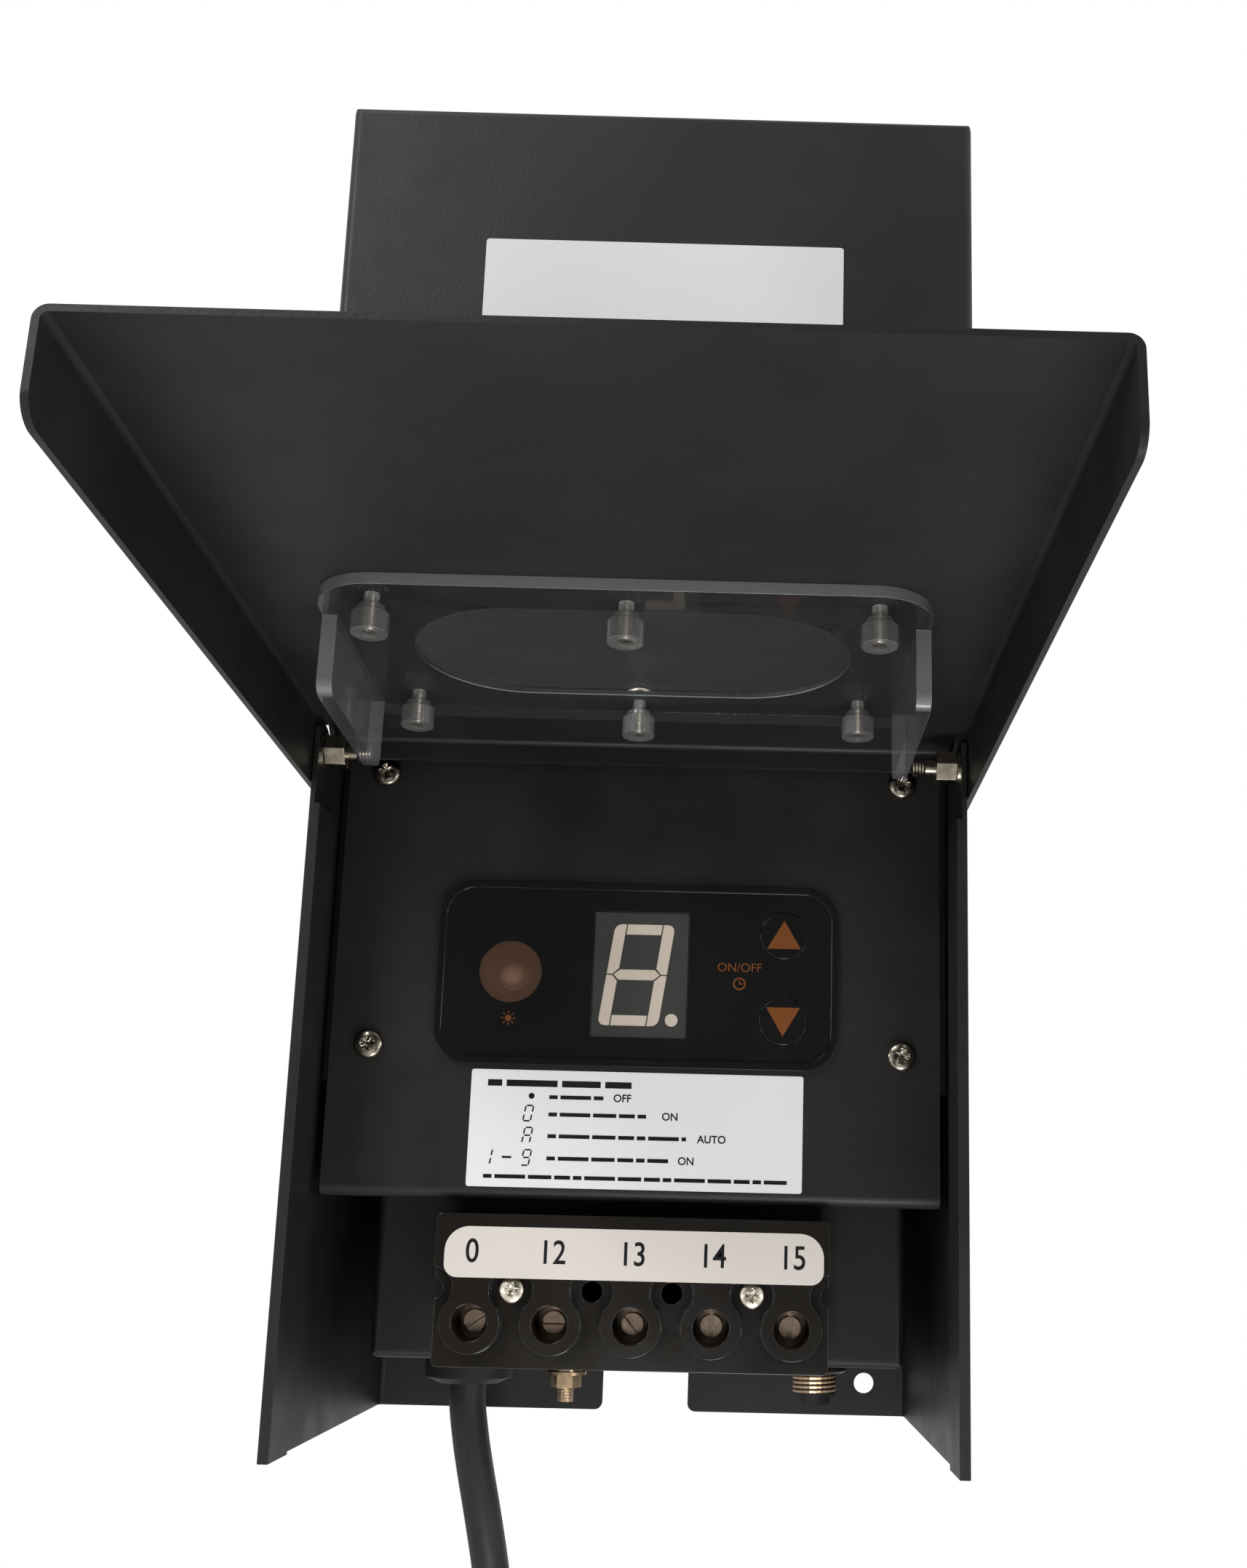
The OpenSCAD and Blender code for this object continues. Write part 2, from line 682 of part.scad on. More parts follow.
module terminal_block() color([0.035, 0.035, 0.035]) from_bottom() difference() {
    union() {
        facing(chassis_d, block_d - collar_rise) block_outline();
        facing(chassis_d, block_d) difference() {
            intersection() {
                collar_outline();
                block_outline();
            }
            for (i = [-1:poles - 1]) translate([between_x(i), mount_z]) circle(mid_ring_r);
        }
    }
    for (i = [0:poles - 1]) {
        rod_z(pole_x(i), barrel_depth, block_z - over, barrel_r + barrel_play, block_h + 2 * over);
        rod_y(pole_x(i), barrel_depth, clamp_z, recess_r, block_d);
        rod_y(pole_x(i), barrel_depth, upper_z, recess_r, block_d);
    }
    for (i = [-1:poles - 1]) rod_y(between_x(i), chassis_d - over, mount_z, mid_hole_r, block_d + over);
}
module clamp_places(i, z) translate([pole_x(i), -barrel_depth, z]) rotate([90, 0, 0]) children();
module terminal_inserts() color([0.72, 0.6, 0.36]) from_bottom() for (i = [0:poles - 1]) difference() {
    rod_z(pole_x(i), barrel_depth, barrel_z, barrel_r, barrel_l);
    rod_z(pole_x(i), barrel_depth, barrel_z - over, wire_d / 2, barrel_l + 2 * over);
    for (z = [clamp_z, upper_z]) clamp_places(i, z) cylinder(d = clamp_d + 2 * barrel_play, h = block_d);
}
module clamp_screw(turn) {
    start = wire_d / 2 + barrel_play;
    difference() {
        translate([0, 0, start]) cylinder(d = clamp_d, h = clamp_l - start);
        rotate(turn) translate([-clamp_d, -clamp_slot_w / 2, clamp_l - clamp_slot_d])
            cube([2 * clamp_d, clamp_slot_w, clamp_l]);
    }
}
module terminal_screw(i) color([0.7, 0.58, 0.38]) from_bottom()
    clamp_places(i, clamp_z) clamp_screw(clamp_turns[i]);
module terminal_screw_1() terminal_screw(0);
module terminal_screw_2() terminal_screw(1);
module terminal_screw_3() terminal_screw(2);
module terminal_screw_4() terminal_screw(3);
module terminal_screw_5() terminal_screw(poles - 1);
module upper_terminal_screws() color([0.7, 0.58, 0.38]) from_bottom()
    for (i = [0:poles - 1]) clamp_places(i, upper_z) clamp_screw(clamp_turns[i]);
module block_screws() color([0.68, 0.62, 0.5]) from_bottom() for (i = [0, poles - 2])
    screw_in(between_x(i), block_front - collar_rise, mount_z,
        block_screw_d, block_d - collar_rise + 2 * sheet_t);

// Fittings under the floor
module cord_gland() color([0.06, 0.06, 0.06]) from_bottom()
    translate([cord_x, -fit_depth, floor_z]) difference() {
        union() {
            translate([0, 0, -gland_drop])
                cylinder(d1 = gland_d * 0.7, d2 = gland_d, h = gland_drop - gland_rim);
            translate([0, 0, -gland_rim]) cylinder(d = gland_d, h = gland_rim);
            cylinder(r = gland_neck_r, h = gland_rise);
        }
        translate([0, 0, -gland_drop]) cylinder(d = cord_d - gland_grip, h = gland_drop + gland_rise + over);
    }
module gland_nut() color([0.09, 0.09, 0.09]) from_bottom()
    translate([cord_x, -fit_depth, floor_z + sheet_t]) difference() {
        linear_extrude(gland_nut_t) hex(gland_d);
        translate([0, 0, -over]) cylinder(r = gland_neck_r + seat, h = gland_nut_t + 2 * over);
    }
// A groove marks off its free end, where an outside wire's ring slips on
module earth_stud() color([0.74, 0.62, 0.38]) from_bottom() {
    end_z = floor_z - earth_down;
    shank_z = end_z + earth_end_l + earth_groove_l;
    rod_z(earth_x, fit_depth, end_z, stud_d / 2, earth_end_l);
    rod_z(earth_x, fit_depth, end_z, earth_groove_r, earth_down);
    rod_z(earth_x, fit_depth, shank_z, stud_d / 2, floor_z + earth_up - shank_z);
}
module earth_nut(z) difference() {
    translate([earth_x, -fit_depth, z]) linear_extrude(earth_nut_t) hex(earth_nut_af);
    rod_z(earth_x, fit_depth, z - over, stud_d / 2 + seat, earth_nut_t + 2 * over);
}
module earth_washer(z, r, t) difference() {
    rod_z(earth_x, fit_depth, z, r, t);
    rod_z(earth_x, fit_depth, z - over, stud_d / 2 + seat, t + 2 * over);
}
module earth_nuts() color([0.78, 0.66, 0.42]) from_bottom() {
    first = floor_z - earth_washer_t - earth_nut_t;
    second = first - earth_lock_t - earth_washer_t - earth_nut_t;
    earth_washer(floor_z + sheet_t, earth_washer_r, earth_washer_t);
    earth_nut(floor_z + sheet_t + earth_washer_t);
    earth_washer(floor_z - earth_washer_t, earth_washer_r, earth_washer_t);
    earth_nut(first);
    earth_washer(first - earth_lock_t, stud_d, earth_lock_t);
    earth_washer(second + earth_nut_t, earth_washer_r, earth_washer_t);
    earth_nut(second);
}
module breaker() color([0.07, 0.07, 0.075]) from_bottom() translate([breaker_x, -fit_depth, 0]) difference() {
    union() {
        translate([-breaker_body[0] / 2, -breaker_body[1] / 2, floor_z + sheet_t]) cube(breaker_body);
        translate([0, 0, floor_z - breaker_neck_l]) cylinder(d = breaker_d, h = breaker_neck_l + 2 * sheet_t);
    }
    translate([0, 0, floor_z - breaker_neck_l - over])
        cylinder(r = reset_r + reset_play / 2, h = breaker_neck_l + sheet_t + reset_travel + over);
}
module breaker_nut() color([0.55, 0.52, 0.45]) from_bottom()
    translate([breaker_x, -fit_depth, floor_z - breaker_nut_t]) difference() {
        union() {
            cylinder(r1 = breaker_nut_r - breaker_nut_edge, r2 = breaker_nut_r, h = breaker_nut_edge);
            translate([0, 0, breaker_nut_edge])
                cylinder(r = breaker_nut_r, h = breaker_nut_t - breaker_nut_edge);
        }
        translate([0, 0, -over]) cylinder(d = breaker_d + 2 * seat, h = breaker_nut_t + 2 * over);
    }
module breaker_reset() color([0.09, 0.09, 0.09]) from_bottom()
    rod_z(breaker_x, fit_depth, floor_z - breaker_neck_l - reset_show, reset_r,
        breaker_neck_l + reset_show + sheet_t - snug);

// Transformer
module core_stud_places() for (x = [-1, 1], z = [-1, 1])
    translate([x * core_stud_x, 0, core_z + z * core_stud_z]) rotate([90, 0, 0]) children();
module core_laminations() color([0.3, 0.3, 0.31]) from_bottom() difference() {
    facing(core_back, core_stack) translate([-core_w / 2, core_z - core_h / 2]) square([core_w, core_h]);
    facing(core_back - over, core_stack + 2 * over) for (side = [-1, 1])
        translate([side * (leg_w + slot_w) / 2, core_z]) square([slot_w, slot_h], center = true);
    core_stud_places() cylinder(d = core_stud_d + 2 * seat, h = 2 * (core_back + core_stack));
}
module around_leg(reach) translate([0, -core_back - core_stack / 2])
    square([leg_w + 2 * reach, core_stack + 2 * reach], center = true);
module coil_former(z0, h, outer, inner) translate([0, 0, z0]) linear_extrude(h) difference() {
    around_leg(outer);
    around_leg(inner);
}
bobbin_z = core_z - slot_h / 2 + bobbin_play;
bobbin_h = slot_h - 2 * bobbin_play;
split_z = bobbin_z + bobbin_t + (bobbin_h - 3 * bobbin_t) * (1 - primary_share);
module bobbin() color([0.75, 0.7, 0.55]) from_bottom() {
    coil_former(bobbin_z, bobbin_h, bobbin_play + bobbin_t, bobbin_play);
    for (z = [bobbin_z, split_z, bobbin_z + bobbin_h - bobbin_t])
        coil_former(z, bobbin_t, bobbin_reach, bobbin_play);
}
winding_in = bobbin_play + bobbin_t;
module primary_winding() color([0.62, 0.32, 0.14]) from_bottom()
    coil_former(split_z + bobbin_t, bobbin_z + bobbin_h - 2 * bobbin_t - split_z,
        winding_in + winding_t, winding_in);
module secondary_winding() color([0.66, 0.36, 0.16]) from_bottom()
    coil_former(bobbin_z + bobbin_t, split_z - bobbin_z - bobbin_t, winding_in + winding_t, winding_in);
module core_studs() color([0.6, 0.6, 0.6]) from_bottom() core_stud_places()
    translate([0, 0, sheet_t])
        cylinder(d = core_stud_d, h = core_back + core_stack + 2 * core_nut_t - sheet_t);
module core_spacers() color([0.6, 0.6, 0.62]) from_bottom() core_stud_places() difference() {
    translate([0, 0, sheet_t]) cylinder(r = spacer_r, h = core_back - sheet_t);
    cylinder(d = core_stud_d + 2 * seat, h = core_back + over);
}
module core_nuts() color([0.62, 0.62, 0.6]) from_bottom() core_stud_places()
    translate([0, 0, core_back + core_stack]) difference() {
        linear_extrude(core_nut_t) hex(core_nut_af);
        translate([0, 0, -over]) cylinder(d = core_stud_d + 2 * seat, h = core_nut_t + 2 * over);
    }

// Hinge
module hinge_bolts() color([0.66, 0.64, 0.6]) from_bottom() both_sides() {
    tail = wall_in - washer_t - hinge_nut_l - hinge_tail;
    rod_x(tail, pivot_d, pivot_z, hinge_d / 2, outer_w / 2 + slide_gap - tail);
    rod_x(outer_w / 2 + slide_gap, pivot_d, pivot_z, hinge_head_r, hinge_head_t);
}
module hinge_washers() color([0.68, 0.67, 0.64]) from_bottom() both_sides() difference() {
    rod_x(wall_in - washer_t, pivot_d, pivot_z, washer_r, washer_t);
    rod_x(0, pivot_d, pivot_z, hinge_d / 2 + seat, body_w);
}
module hinge_nuts() color([0.72, 0.68, 0.6]) from_bottom() both_sides() difference() {
    sideways(wall_in - washer_t - hinge_nut_l, hinge_nut_l) translate([pivot_d, pivot_z]) hex(hinge_nut_af);
    rod_x(0, pivot_d, pivot_z, hinge_d / 2 + seat, body_w);
}

// Door, drawn shut and then swung open
module door_pose() from_bottom() translate([0, -pivot_d, pivot_z]) rotate([-door_open, 0, 0])
    translate([0, pivot_d, -pivot_z]) children();
module door_channel() difference() {
    translate([0, flange_d - door_front]) mirror([0, 1]) arch(outer_w, flange_d, bend_r);
    translate([0, flange_d - door_front + over]) mirror([0, 1])
        arch(outer_w - 2 * sheet_t, flange_d + over - sheet_t, bend_r - sheet_t);
}
module door_ear() intersection() {
    translate([pivot_d, pivot_z]) circle(door_above);
    translate([door_front - flange_d, pivot_z]) square([flange_d - bend_r, door_above]);
}
module flange_corner() translate([door_front - flange_d, 0]) corner_cut(flange_r);
module lens_window(play) translate([0, window_z]) {
    reach = (window_w - window_h) / 2;
    for (side = [-1, 1]) translate([side * reach, 0]) circle(window_h / 2 - play);
    square([2 * reach, window_h - 2 * play], center = true);
}
module lens_screw_places() {
    for (x = [-1, 0, 1]) translate([x * lens_screw_x, lens_far_z + (x == 0 ? sheet_t : 0)]) children();
    for (x = [-1, 0, 1]) translate([x * lens_screw_x, lens_near_z + (x == 0 ? wing_t : 0)]) children();
}
module door() color([0.12, 0.12, 0.125]) door_pose() difference() {
    union() {
        linear_extrude(pivot_z + relief) door_channel();
        sideways(-mid_half, 2 * mid_half) translate([door_front, door_top]) mirror([1, 0]) mirror([0, 1])
            angle(lip_d, door_above);
        both_sides() sideways(outer_w / 2 - sheet_t, sheet_t) door_ear();
    }
    sideways(-outer_w, 2 * outer_w) flange_corner();
    facing(door_back - over, sheet_t + 2 * over) lens_window(0);
    facing(door_back - over, sheet_t + 2 * over) lens_screw_places() circle(lens_screw_d / 2 + seat);
    rod_x(-outer_w, pivot_d, pivot_z, hinge_bore_r, 2 * outer_w);
}
module lens_plate() {
    translate([0, lens_z]) mirror([0, 1]) arch(lens_w, lens_h / 2, lens_r);
    translate([0, lens_z]) arch(lens_w, lens_h / 2, lens_near_r);
}
module door_lens() color([0.85, 0.9, 0.95, 0.35]) door_pose() difference() {
    union() {
        facing(door_back - lens_t, lens_t) lens_plate();
        facing(door_back - lens_t, lens_t + sheet_t) lens_window(snug);
        both_sides() sideways(lens_w / 2 - wing_t, wing_t) translate([door_back - lens_t, wing_z]) rotate(90)
            arch(wing_l, wing_d, wing_r);
    }
    facing(door_back - lens_t - over, lens_t + 2 * over) lens_screw_places() circle(lens_screw_d / 2 + seat);
}
module lens_screws() color([0.7, 0.68, 0.64]) door_pose() translate([0, -door_front, 0]) rotate([90, 0, 0])
    lens_screw_places() pan_screw(lens_screw_d, sheet_t + lens_t + cap_l - cap_neck_l / 2);
module lens_caps() color([0.85, 0.9, 0.95, 0.4]) door_pose() difference() {
    union() {
        facing(door_back - lens_t - cap_neck_l, cap_neck_l) lens_screw_places() circle(cap_neck_r);
        facing(door_back - lens_t - cap_l, cap_l - cap_neck_l) lens_screw_places() circle(cap_d / 2);
    }
    facing(door_back - lens_t - cap_l - over, cap_l + 2 * over)
        lens_screw_places() circle(lens_screw_d / 2 + seat);
}

// Cord, with its coil, tie and plug
function coil_wind(turn) = abs(turn - coil_turns / 2);
function coil_radius(turn) = coil_r - coil_step * (coil_turns / 2 - coil_wind(turn));
function coil_climb(turn) = coil_step * min(1, max(0, 2 * (turn - coil_turns / 2) + 0.5));
function coil_point(turn) = coil_centre
    + [-coil_radius(turn) * cos(360 * turn), coil_climb(turn), -coil_radius(turn) * sin(360 * turn)];
coil_loops = [for (i = [0:coil_turns * coil_rings]) coil_point(i / coil_rings)];
coil_path = concat([coil_loops[0] + [0, 0, coil_lead]], coil_loops,
    [coil_loops[coil_turns * coil_rings] - [0, 0, coil_lead]]);
coil_gap = min([for (i = [0:len(coil_path) - 1], j = [i + coil_rings / 2:len(coil_path) - 1])
    norm(coil_path[i] - coil_path[j])]) - cord_d;
module cord_run() color([0.07, 0.07, 0.07]) from_bottom() tube(cord_route, cord_d / 2, cord_sides);
module cord_coil() color([0.07, 0.07, 0.07]) from_bottom() tube(coil_path, cord_d / 2, coil_sides);
module cord_tail() color([0.07, 0.07, 0.07]) from_bottom() tube(tail_route, cord_d / 2, cord_sides);
module coil_tie() color([0.1, 0.1, 0.1]) from_bottom() {
    inner = coil_step + cord_d + 2 * tie_play;
    middle = coil_centre + [coil_r - coil_step, coil_step / 2, -tie_w / 2];
    translate(middle) linear_extrude(tie_w) difference() {
        rounded(inner + 2 * tie_t, inner + 2 * tie_t, cord_d / 2);
        rounded(inner, inner, cord_d / 2 - tie_t);
    }
}
module plug_places() from_bottom() translate([plug_x, -plug_depth, plug_z]) children();
module plug_body() color([0.08, 0.08, 0.08]) plug_places() {
    translate([0, 0, -plug_neck_l]) cylinder(r1 = plug_neck_r * 1.2, r2 = plug_neck_r, h = plug_neck_l);
    translate([0, 0, plug_base - plug_l])
        cylinder(r1 = plug_h * 0.42, r2 = plug_neck_r * 1.2, h = plug_l - plug_base - plug_neck_l);
    translate([0, 0, -plug_l]) linear_extrude(plug_base) rounded(plug_w, plug_h, plug_h / 4);
}
module plug_blades() color([0.75, 0.68, 0.5]) plug_places() translate([0, 0, -plug_l]) {
    for (side = [-1, 1]) translate([side * blade_gap / 2 - blade_t / 2, -blade_w / 2 - pin_off / 2, -blade_l])
        cube([blade_t, blade_w, blade_l]);
    translate([0, pin_off, -pin_l]) cylinder(d = pin_d, h = pin_l);
}
echo("least gap between the coil's turns", coil_gap);

enclosure_shell();
cover();
cover_screws();
panel_brackets();
control_panel();
panel_screws();
display_housing();
digit_module();
digit_segments();
photocell_window();
photocell_sensor();
button_up();
button_down();
control_board();
board_screws();
relay();
capacitor();
controller_chip();
terminal_chassis();
terminal_block();
terminal_inserts();
terminal_screw_1();
terminal_screw_2();
terminal_screw_3();
terminal_screw_4();
terminal_screw_5();
upper_terminal_screws();
block_screws();
cord_gland();
gland_nut();
earth_stud();
earth_nuts();
breaker();
breaker_nut();
breaker_reset();
core_laminations();
bobbin();
primary_winding();
secondary_winding();
core_studs();
core_spacers();
core_nuts();
hinge_bolts();
hinge_washers();
hinge_nuts();
door();
door_lens();
lens_screws();
lens_caps();
cord_run();
cord_coil();
coil_tie();
cord_tail();
plug_body();
plug_blades();
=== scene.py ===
import json
import math

import bmesh
import bpy
from mathutils import Matrix, Vector

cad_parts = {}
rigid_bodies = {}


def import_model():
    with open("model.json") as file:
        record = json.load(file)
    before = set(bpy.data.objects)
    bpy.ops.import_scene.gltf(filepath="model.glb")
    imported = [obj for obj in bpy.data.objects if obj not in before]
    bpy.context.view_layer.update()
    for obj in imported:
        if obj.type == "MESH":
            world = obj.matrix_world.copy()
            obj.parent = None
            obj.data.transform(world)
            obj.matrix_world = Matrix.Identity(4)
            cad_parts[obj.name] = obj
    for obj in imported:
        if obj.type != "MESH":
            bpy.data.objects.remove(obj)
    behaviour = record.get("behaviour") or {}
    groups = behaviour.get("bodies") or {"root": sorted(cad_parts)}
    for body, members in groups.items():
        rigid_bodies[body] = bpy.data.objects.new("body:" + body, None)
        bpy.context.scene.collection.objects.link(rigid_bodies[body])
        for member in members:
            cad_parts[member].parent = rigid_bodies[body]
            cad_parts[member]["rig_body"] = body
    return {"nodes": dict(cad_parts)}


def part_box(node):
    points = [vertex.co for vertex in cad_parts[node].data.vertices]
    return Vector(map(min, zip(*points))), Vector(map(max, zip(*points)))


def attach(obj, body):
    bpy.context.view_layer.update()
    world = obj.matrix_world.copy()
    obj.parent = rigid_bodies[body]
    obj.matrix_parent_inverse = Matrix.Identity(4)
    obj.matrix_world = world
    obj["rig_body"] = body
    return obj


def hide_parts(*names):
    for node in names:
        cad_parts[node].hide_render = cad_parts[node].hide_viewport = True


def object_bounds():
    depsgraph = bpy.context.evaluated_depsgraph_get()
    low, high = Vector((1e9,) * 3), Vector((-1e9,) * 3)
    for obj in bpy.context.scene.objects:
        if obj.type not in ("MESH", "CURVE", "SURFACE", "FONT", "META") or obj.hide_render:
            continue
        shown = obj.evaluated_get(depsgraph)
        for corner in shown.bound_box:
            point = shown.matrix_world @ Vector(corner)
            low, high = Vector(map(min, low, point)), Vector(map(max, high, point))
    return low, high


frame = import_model()
cad_box = [list(corner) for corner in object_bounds()]

MM = 0.001
WELD = 0.000002
BODY = "enclosure"
BASE_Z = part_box("enclosure_shell")[0].z


def place(x, depth, z):
    """A point from millimetres: x, distance in front of the wall, height above the box's lower edge."""
    return Vector((x * MM, -depth * MM, z * MM + BASE_Z))


# The camera, where the photograph's perspective puts it, with its axis off the picture's middle

CAMERA_AT = (21.0, 465.95, 50.97)
PITCH, YAW, ROLL = (math.radians(a) for a in (11.51, 0.32, 1.37))
IMAGE_W, IMAGE_H = 1714, 2156
FOCAL_PX = 2172.69
CENTRE_PX = (1013.29, 1246.0)
SENSOR = 36
CLIP_START = 0.01


def make_camera():
    data = bpy.data.cameras.new("camera")
    data.sensor_fit = "VERTICAL"
    data.sensor_height = SENSOR
    data.lens = FOCAL_PX * SENSOR / IMAGE_H
    data.shift_x = (IMAGE_W / 2 - CENTRE_PX[0]) / IMAGE_H
    data.shift_y = (CENTRE_PX[1] - IMAGE_H / 2) / IMAGE_H
    data.clip_start = CLIP_START
    flat = math.cos(PITCH)
    forward = Vector((math.sin(YAW) * flat, math.cos(YAW) * flat, math.sin(PITCH)))
    level = Vector((math.cos(YAW), -math.sin(YAW), 0))
    up = level.cross(forward)
    right = level * math.cos(ROLL) + up * math.sin(ROLL)
    top = up * math.cos(ROLL) - level * math.sin(ROLL)
    camera = bpy.data.objects.new("camera", data)
    bpy.context.scene.collection.objects.link(camera)
    turn = Matrix((right, top, -forward)).transposed().to_4x4()
    camera.matrix_world = Matrix.Translation(place(*CAMERA_AT)) @ turn
    bpy.context.scene.camera = camera


make_camera()


# Materials, each a small node tree in the frame's own coordinates

NOISE_RANGE = (0.3, 0.7)
TINT_RANGE = (0.35, 0.65)
ROUGHNESS_FINER = 3
RELIEF_DETAIL = 2.0


def nodes_of(name):
    material = bpy.data.materials.new(name)
    material.use_nodes = True
    tree = material.node_tree
    return material, tree, tree.nodes["Principled BSDF"]


def add(tree, kind, **values):
    node = tree.nodes.new(kind)
    for key, value in values.items():
        if key in node.inputs:
            node.inputs[key].default_value = value
        else:
            setattr(node, key, value)
    return node


def noise(tree, scale, detail=3.0, stretch=(1, 1, 1)):
    where = add(tree, "ShaderNodeTexCoord")
    mapping = add(tree, "ShaderNodeMapping")
    mapping.inputs["Scale"].default_value = stretch
    texture = add(tree, "ShaderNodeTexNoise", Scale=scale, Detail=detail)
    tree.links.new(where.outputs["Object"], mapping.inputs["Vector"])
    tree.links.new(mapping.outputs["Vector"], texture.inputs["Vector"])
    return texture


def ranged(tree, source, start, end, least, most):
    """A value between least and most, as the source goes from start to end."""
    node = add(tree, "ShaderNodeMapRange")
    for socket, value in (("From Min", start), ("From Max", end), ("To Min", least), ("To Max", most)):
        node.inputs[socket].default_value = value
    tree.links.new(source, node.inputs["Value"])
    return node.outputs["Result"]


def spread(tree, source, socket, low, high):
    """Lets a noise move a socket's value between low and high."""
    tree.links.new(ranged(tree, source.outputs["Fac"], *NOISE_RANGE, low, high), socket)


def tint(tree, source, socket, dark, light):
    """Lets a noise move a socket's colour between dark and light."""
    ramp = add(tree, "ShaderNodeValToRGB")
    for stop, position, colour in zip(ramp.color_ramp.elements, TINT_RANGE, (dark, light)):
        stop.position = position
        stop.color = (*colour, 1)
    tree.links.new(source.outputs["Fac"], ramp.inputs["Fac"])
    tree.links.new(ramp.outputs["Color"], socket)


def bump(tree, shader, source, distance):
    node = add(tree, "ShaderNodeBump", Distance=distance, Strength=1.0)
    tree.links.new(source.outputs["Fac"], node.inputs["Height"])
    tree.links.new(node.outputs["Normal"], shader.inputs["Normal"])


def surface(name, dark, light, rough, metallic=0.0, blotch=25, grain=900, grain_depth=0.00002,
            stretch=(1, 1, 1), specular=0.5):
    """Colour and roughness that wander a little over the surface, with a fine relief.

    Blotch and grain are how fine the wandering and the relief are, and grain_depth is in metres.
    """
    material, tree, shader = nodes_of(name)
    shader.inputs["Metallic"].default_value = metallic
    shader.inputs["Specular IOR Level"].default_value = specular
    tint(tree, noise(tree, blotch), shader.inputs["Base Color"], dark, light)
    uneven = noise(tree, blotch * ROUGHNESS_FINER, stretch=stretch)
    spread(tree, uneven, shader.inputs["Roughness"], *rough)
    bump(tree, shader, noise(tree, grain, RELIEF_DETAIL, stretch), grain_depth)
    return material


def joined(tree, first, second, factor):
    """Two shaders mixed into the material's output; the factor is a number or a socket."""
    mix = add(tree, "ShaderNodeMixShader")
    tree.links.new(first, mix.inputs[1])
    tree.links.new(second, mix.inputs[2])
    if isinstance(factor, float):
        mix.inputs["Fac"].default_value = factor
    else:
        tree.links.new(factor, mix.inputs["Fac"])
    tree.links.new(mix.outputs["Shader"], tree.nodes["Material Output"].inputs["Surface"])
    return mix.outputs["Shader"]


def calculated(tree, operation, first, second, **options):
    """What a math node makes of a socket and a second value, which is a number or a socket."""
    node = add(tree, "ShaderNodeMath", operation=operation, **options)
    tree.links.new(first, node.inputs[0])
    if isinstance(second, (int, float)):
        node.inputs[1].default_value = second
    else:
        tree.links.new(second, node.inputs[1])
    return node.outputs["Value"]


def along(tree, vector, direction):
    """How far a vector goes in a direction."""
    node = add(tree, "ShaderNodeVectorMath", operation="DOT_PRODUCT")
    node.inputs[1].default_value = direction
    tree.links.new(vector, node.inputs[0])
    return node.outputs["Value"]


def weighed(tree, source, start, end, most):
    """How far a part of the surface's direction, its sign left out, has come from start to end."""
    size = add(tree, "ShaderNodeMath", operation="ABSOLUTE")
    tree.links.new(source, size.inputs[0])
    return ranged(tree, size.outputs["Value"], start, end, 0.0, most)


# The share that clear plastic mirrors, straight on and at a grazing angle, and how late it rises
MIRRORED = (0.04, 0.9)
GRAZING_POWER = 5
SHINE_ROUGH = 0.04
SHINE_RELIEF = 0.00002
FROST_ROUGH = (0.22, 0.34)
# How far a face has to turn to count as level, as a side or as a front: from not at all to wholly
LEVEL_FACE = (0.6, 0.8)
SIDE_FACE = (0.5, 0.95)
FRONT_FACE = (0.2, 0.7)


def clear(name, colour, edge, side_frost, front_frost, haze_and_sheen, up=(0, 0, 1), top=1.0, back=1.0):
    """Thin clear plastic: it shows what lies behind and shines, and its cut sides are frosted.

    The cut sides above its top plane, round the raised window, stay clear and don't shine. What lies
    behind its back plane isn't frosted either. The least frost lies over every face: on the lens it is a
    painted sheen, on the caps it is their own frost.
    """
    material, tree, frost = nodes_of(name)
    frost.inputs["Base Color"].default_value = (*edge, 1)
    spread(tree, noise(tree, 150), frost.inputs["Roughness"], *FROST_ROUGH)
    through = add(tree, "ShaderNodeBsdfTransparent", Color=(*colour, 1))
    shine = add(tree, "ShaderNodeBsdfGlossy", Roughness=SHINE_ROUGH)
    bump(tree, shine, noise(tree, 40, RELIEF_DETAIL), SHINE_RELIEF)
    where = add(tree, "ShaderNodeTexCoord")
    spot = add(tree, "ShaderNodeSeparateXYZ")
    tree.links.new(where.outputs["Object"], spot.inputs["Vector"])
    normal = add(tree, "ShaderNodeSeparateXYZ")
    tree.links.new(where.outputs["Normal"], normal.inputs["Vector"])

    below = calculated(tree, "LESS_THAN", along(tree, where.outputs["Object"], up), top)
    level = weighed(tree, along(tree, where.outputs["Normal"], up), *LEVEL_FACE, 1.0)
    shiny = calculated(tree, "MAXIMUM", level, below)
    facing = add(tree, "ShaderNodeLayerWeight")
    steep = calculated(tree, "POWER", facing.outputs["Facing"], GRAZING_POWER)
    mirrored = calculated(tree, "MULTIPLY", ranged(tree, steep, 0.0, 1.0, *MIRRORED), shiny)
    sheet = joined(tree, through.outputs["BSDF"], shine.outputs["BSDF"], mirrored)

    sides = weighed(tree, normal.outputs["X"], *SIDE_FACE, side_frost)
    fronts = weighed(tree, normal.outputs["Y"], *FRONT_FACE, front_frost)
    cut = calculated(tree, "MULTIPLY", calculated(tree, "ADD", sides, fronts, use_clamp=True), below)
    ahead = calculated(tree, "LESS_THAN", spot.outputs["Y"], back)
    frosted = calculated(tree, "MAXIMUM", calculated(tree, "MULTIPLY", cut, ahead), haze_and_sheen)
    joined(tree, sheet, frost.outputs["BSDF"], frosted)
    return material


SMOKE_SHARE = 0.6
SMOKE_ROUGH = (0.06, 0.12)


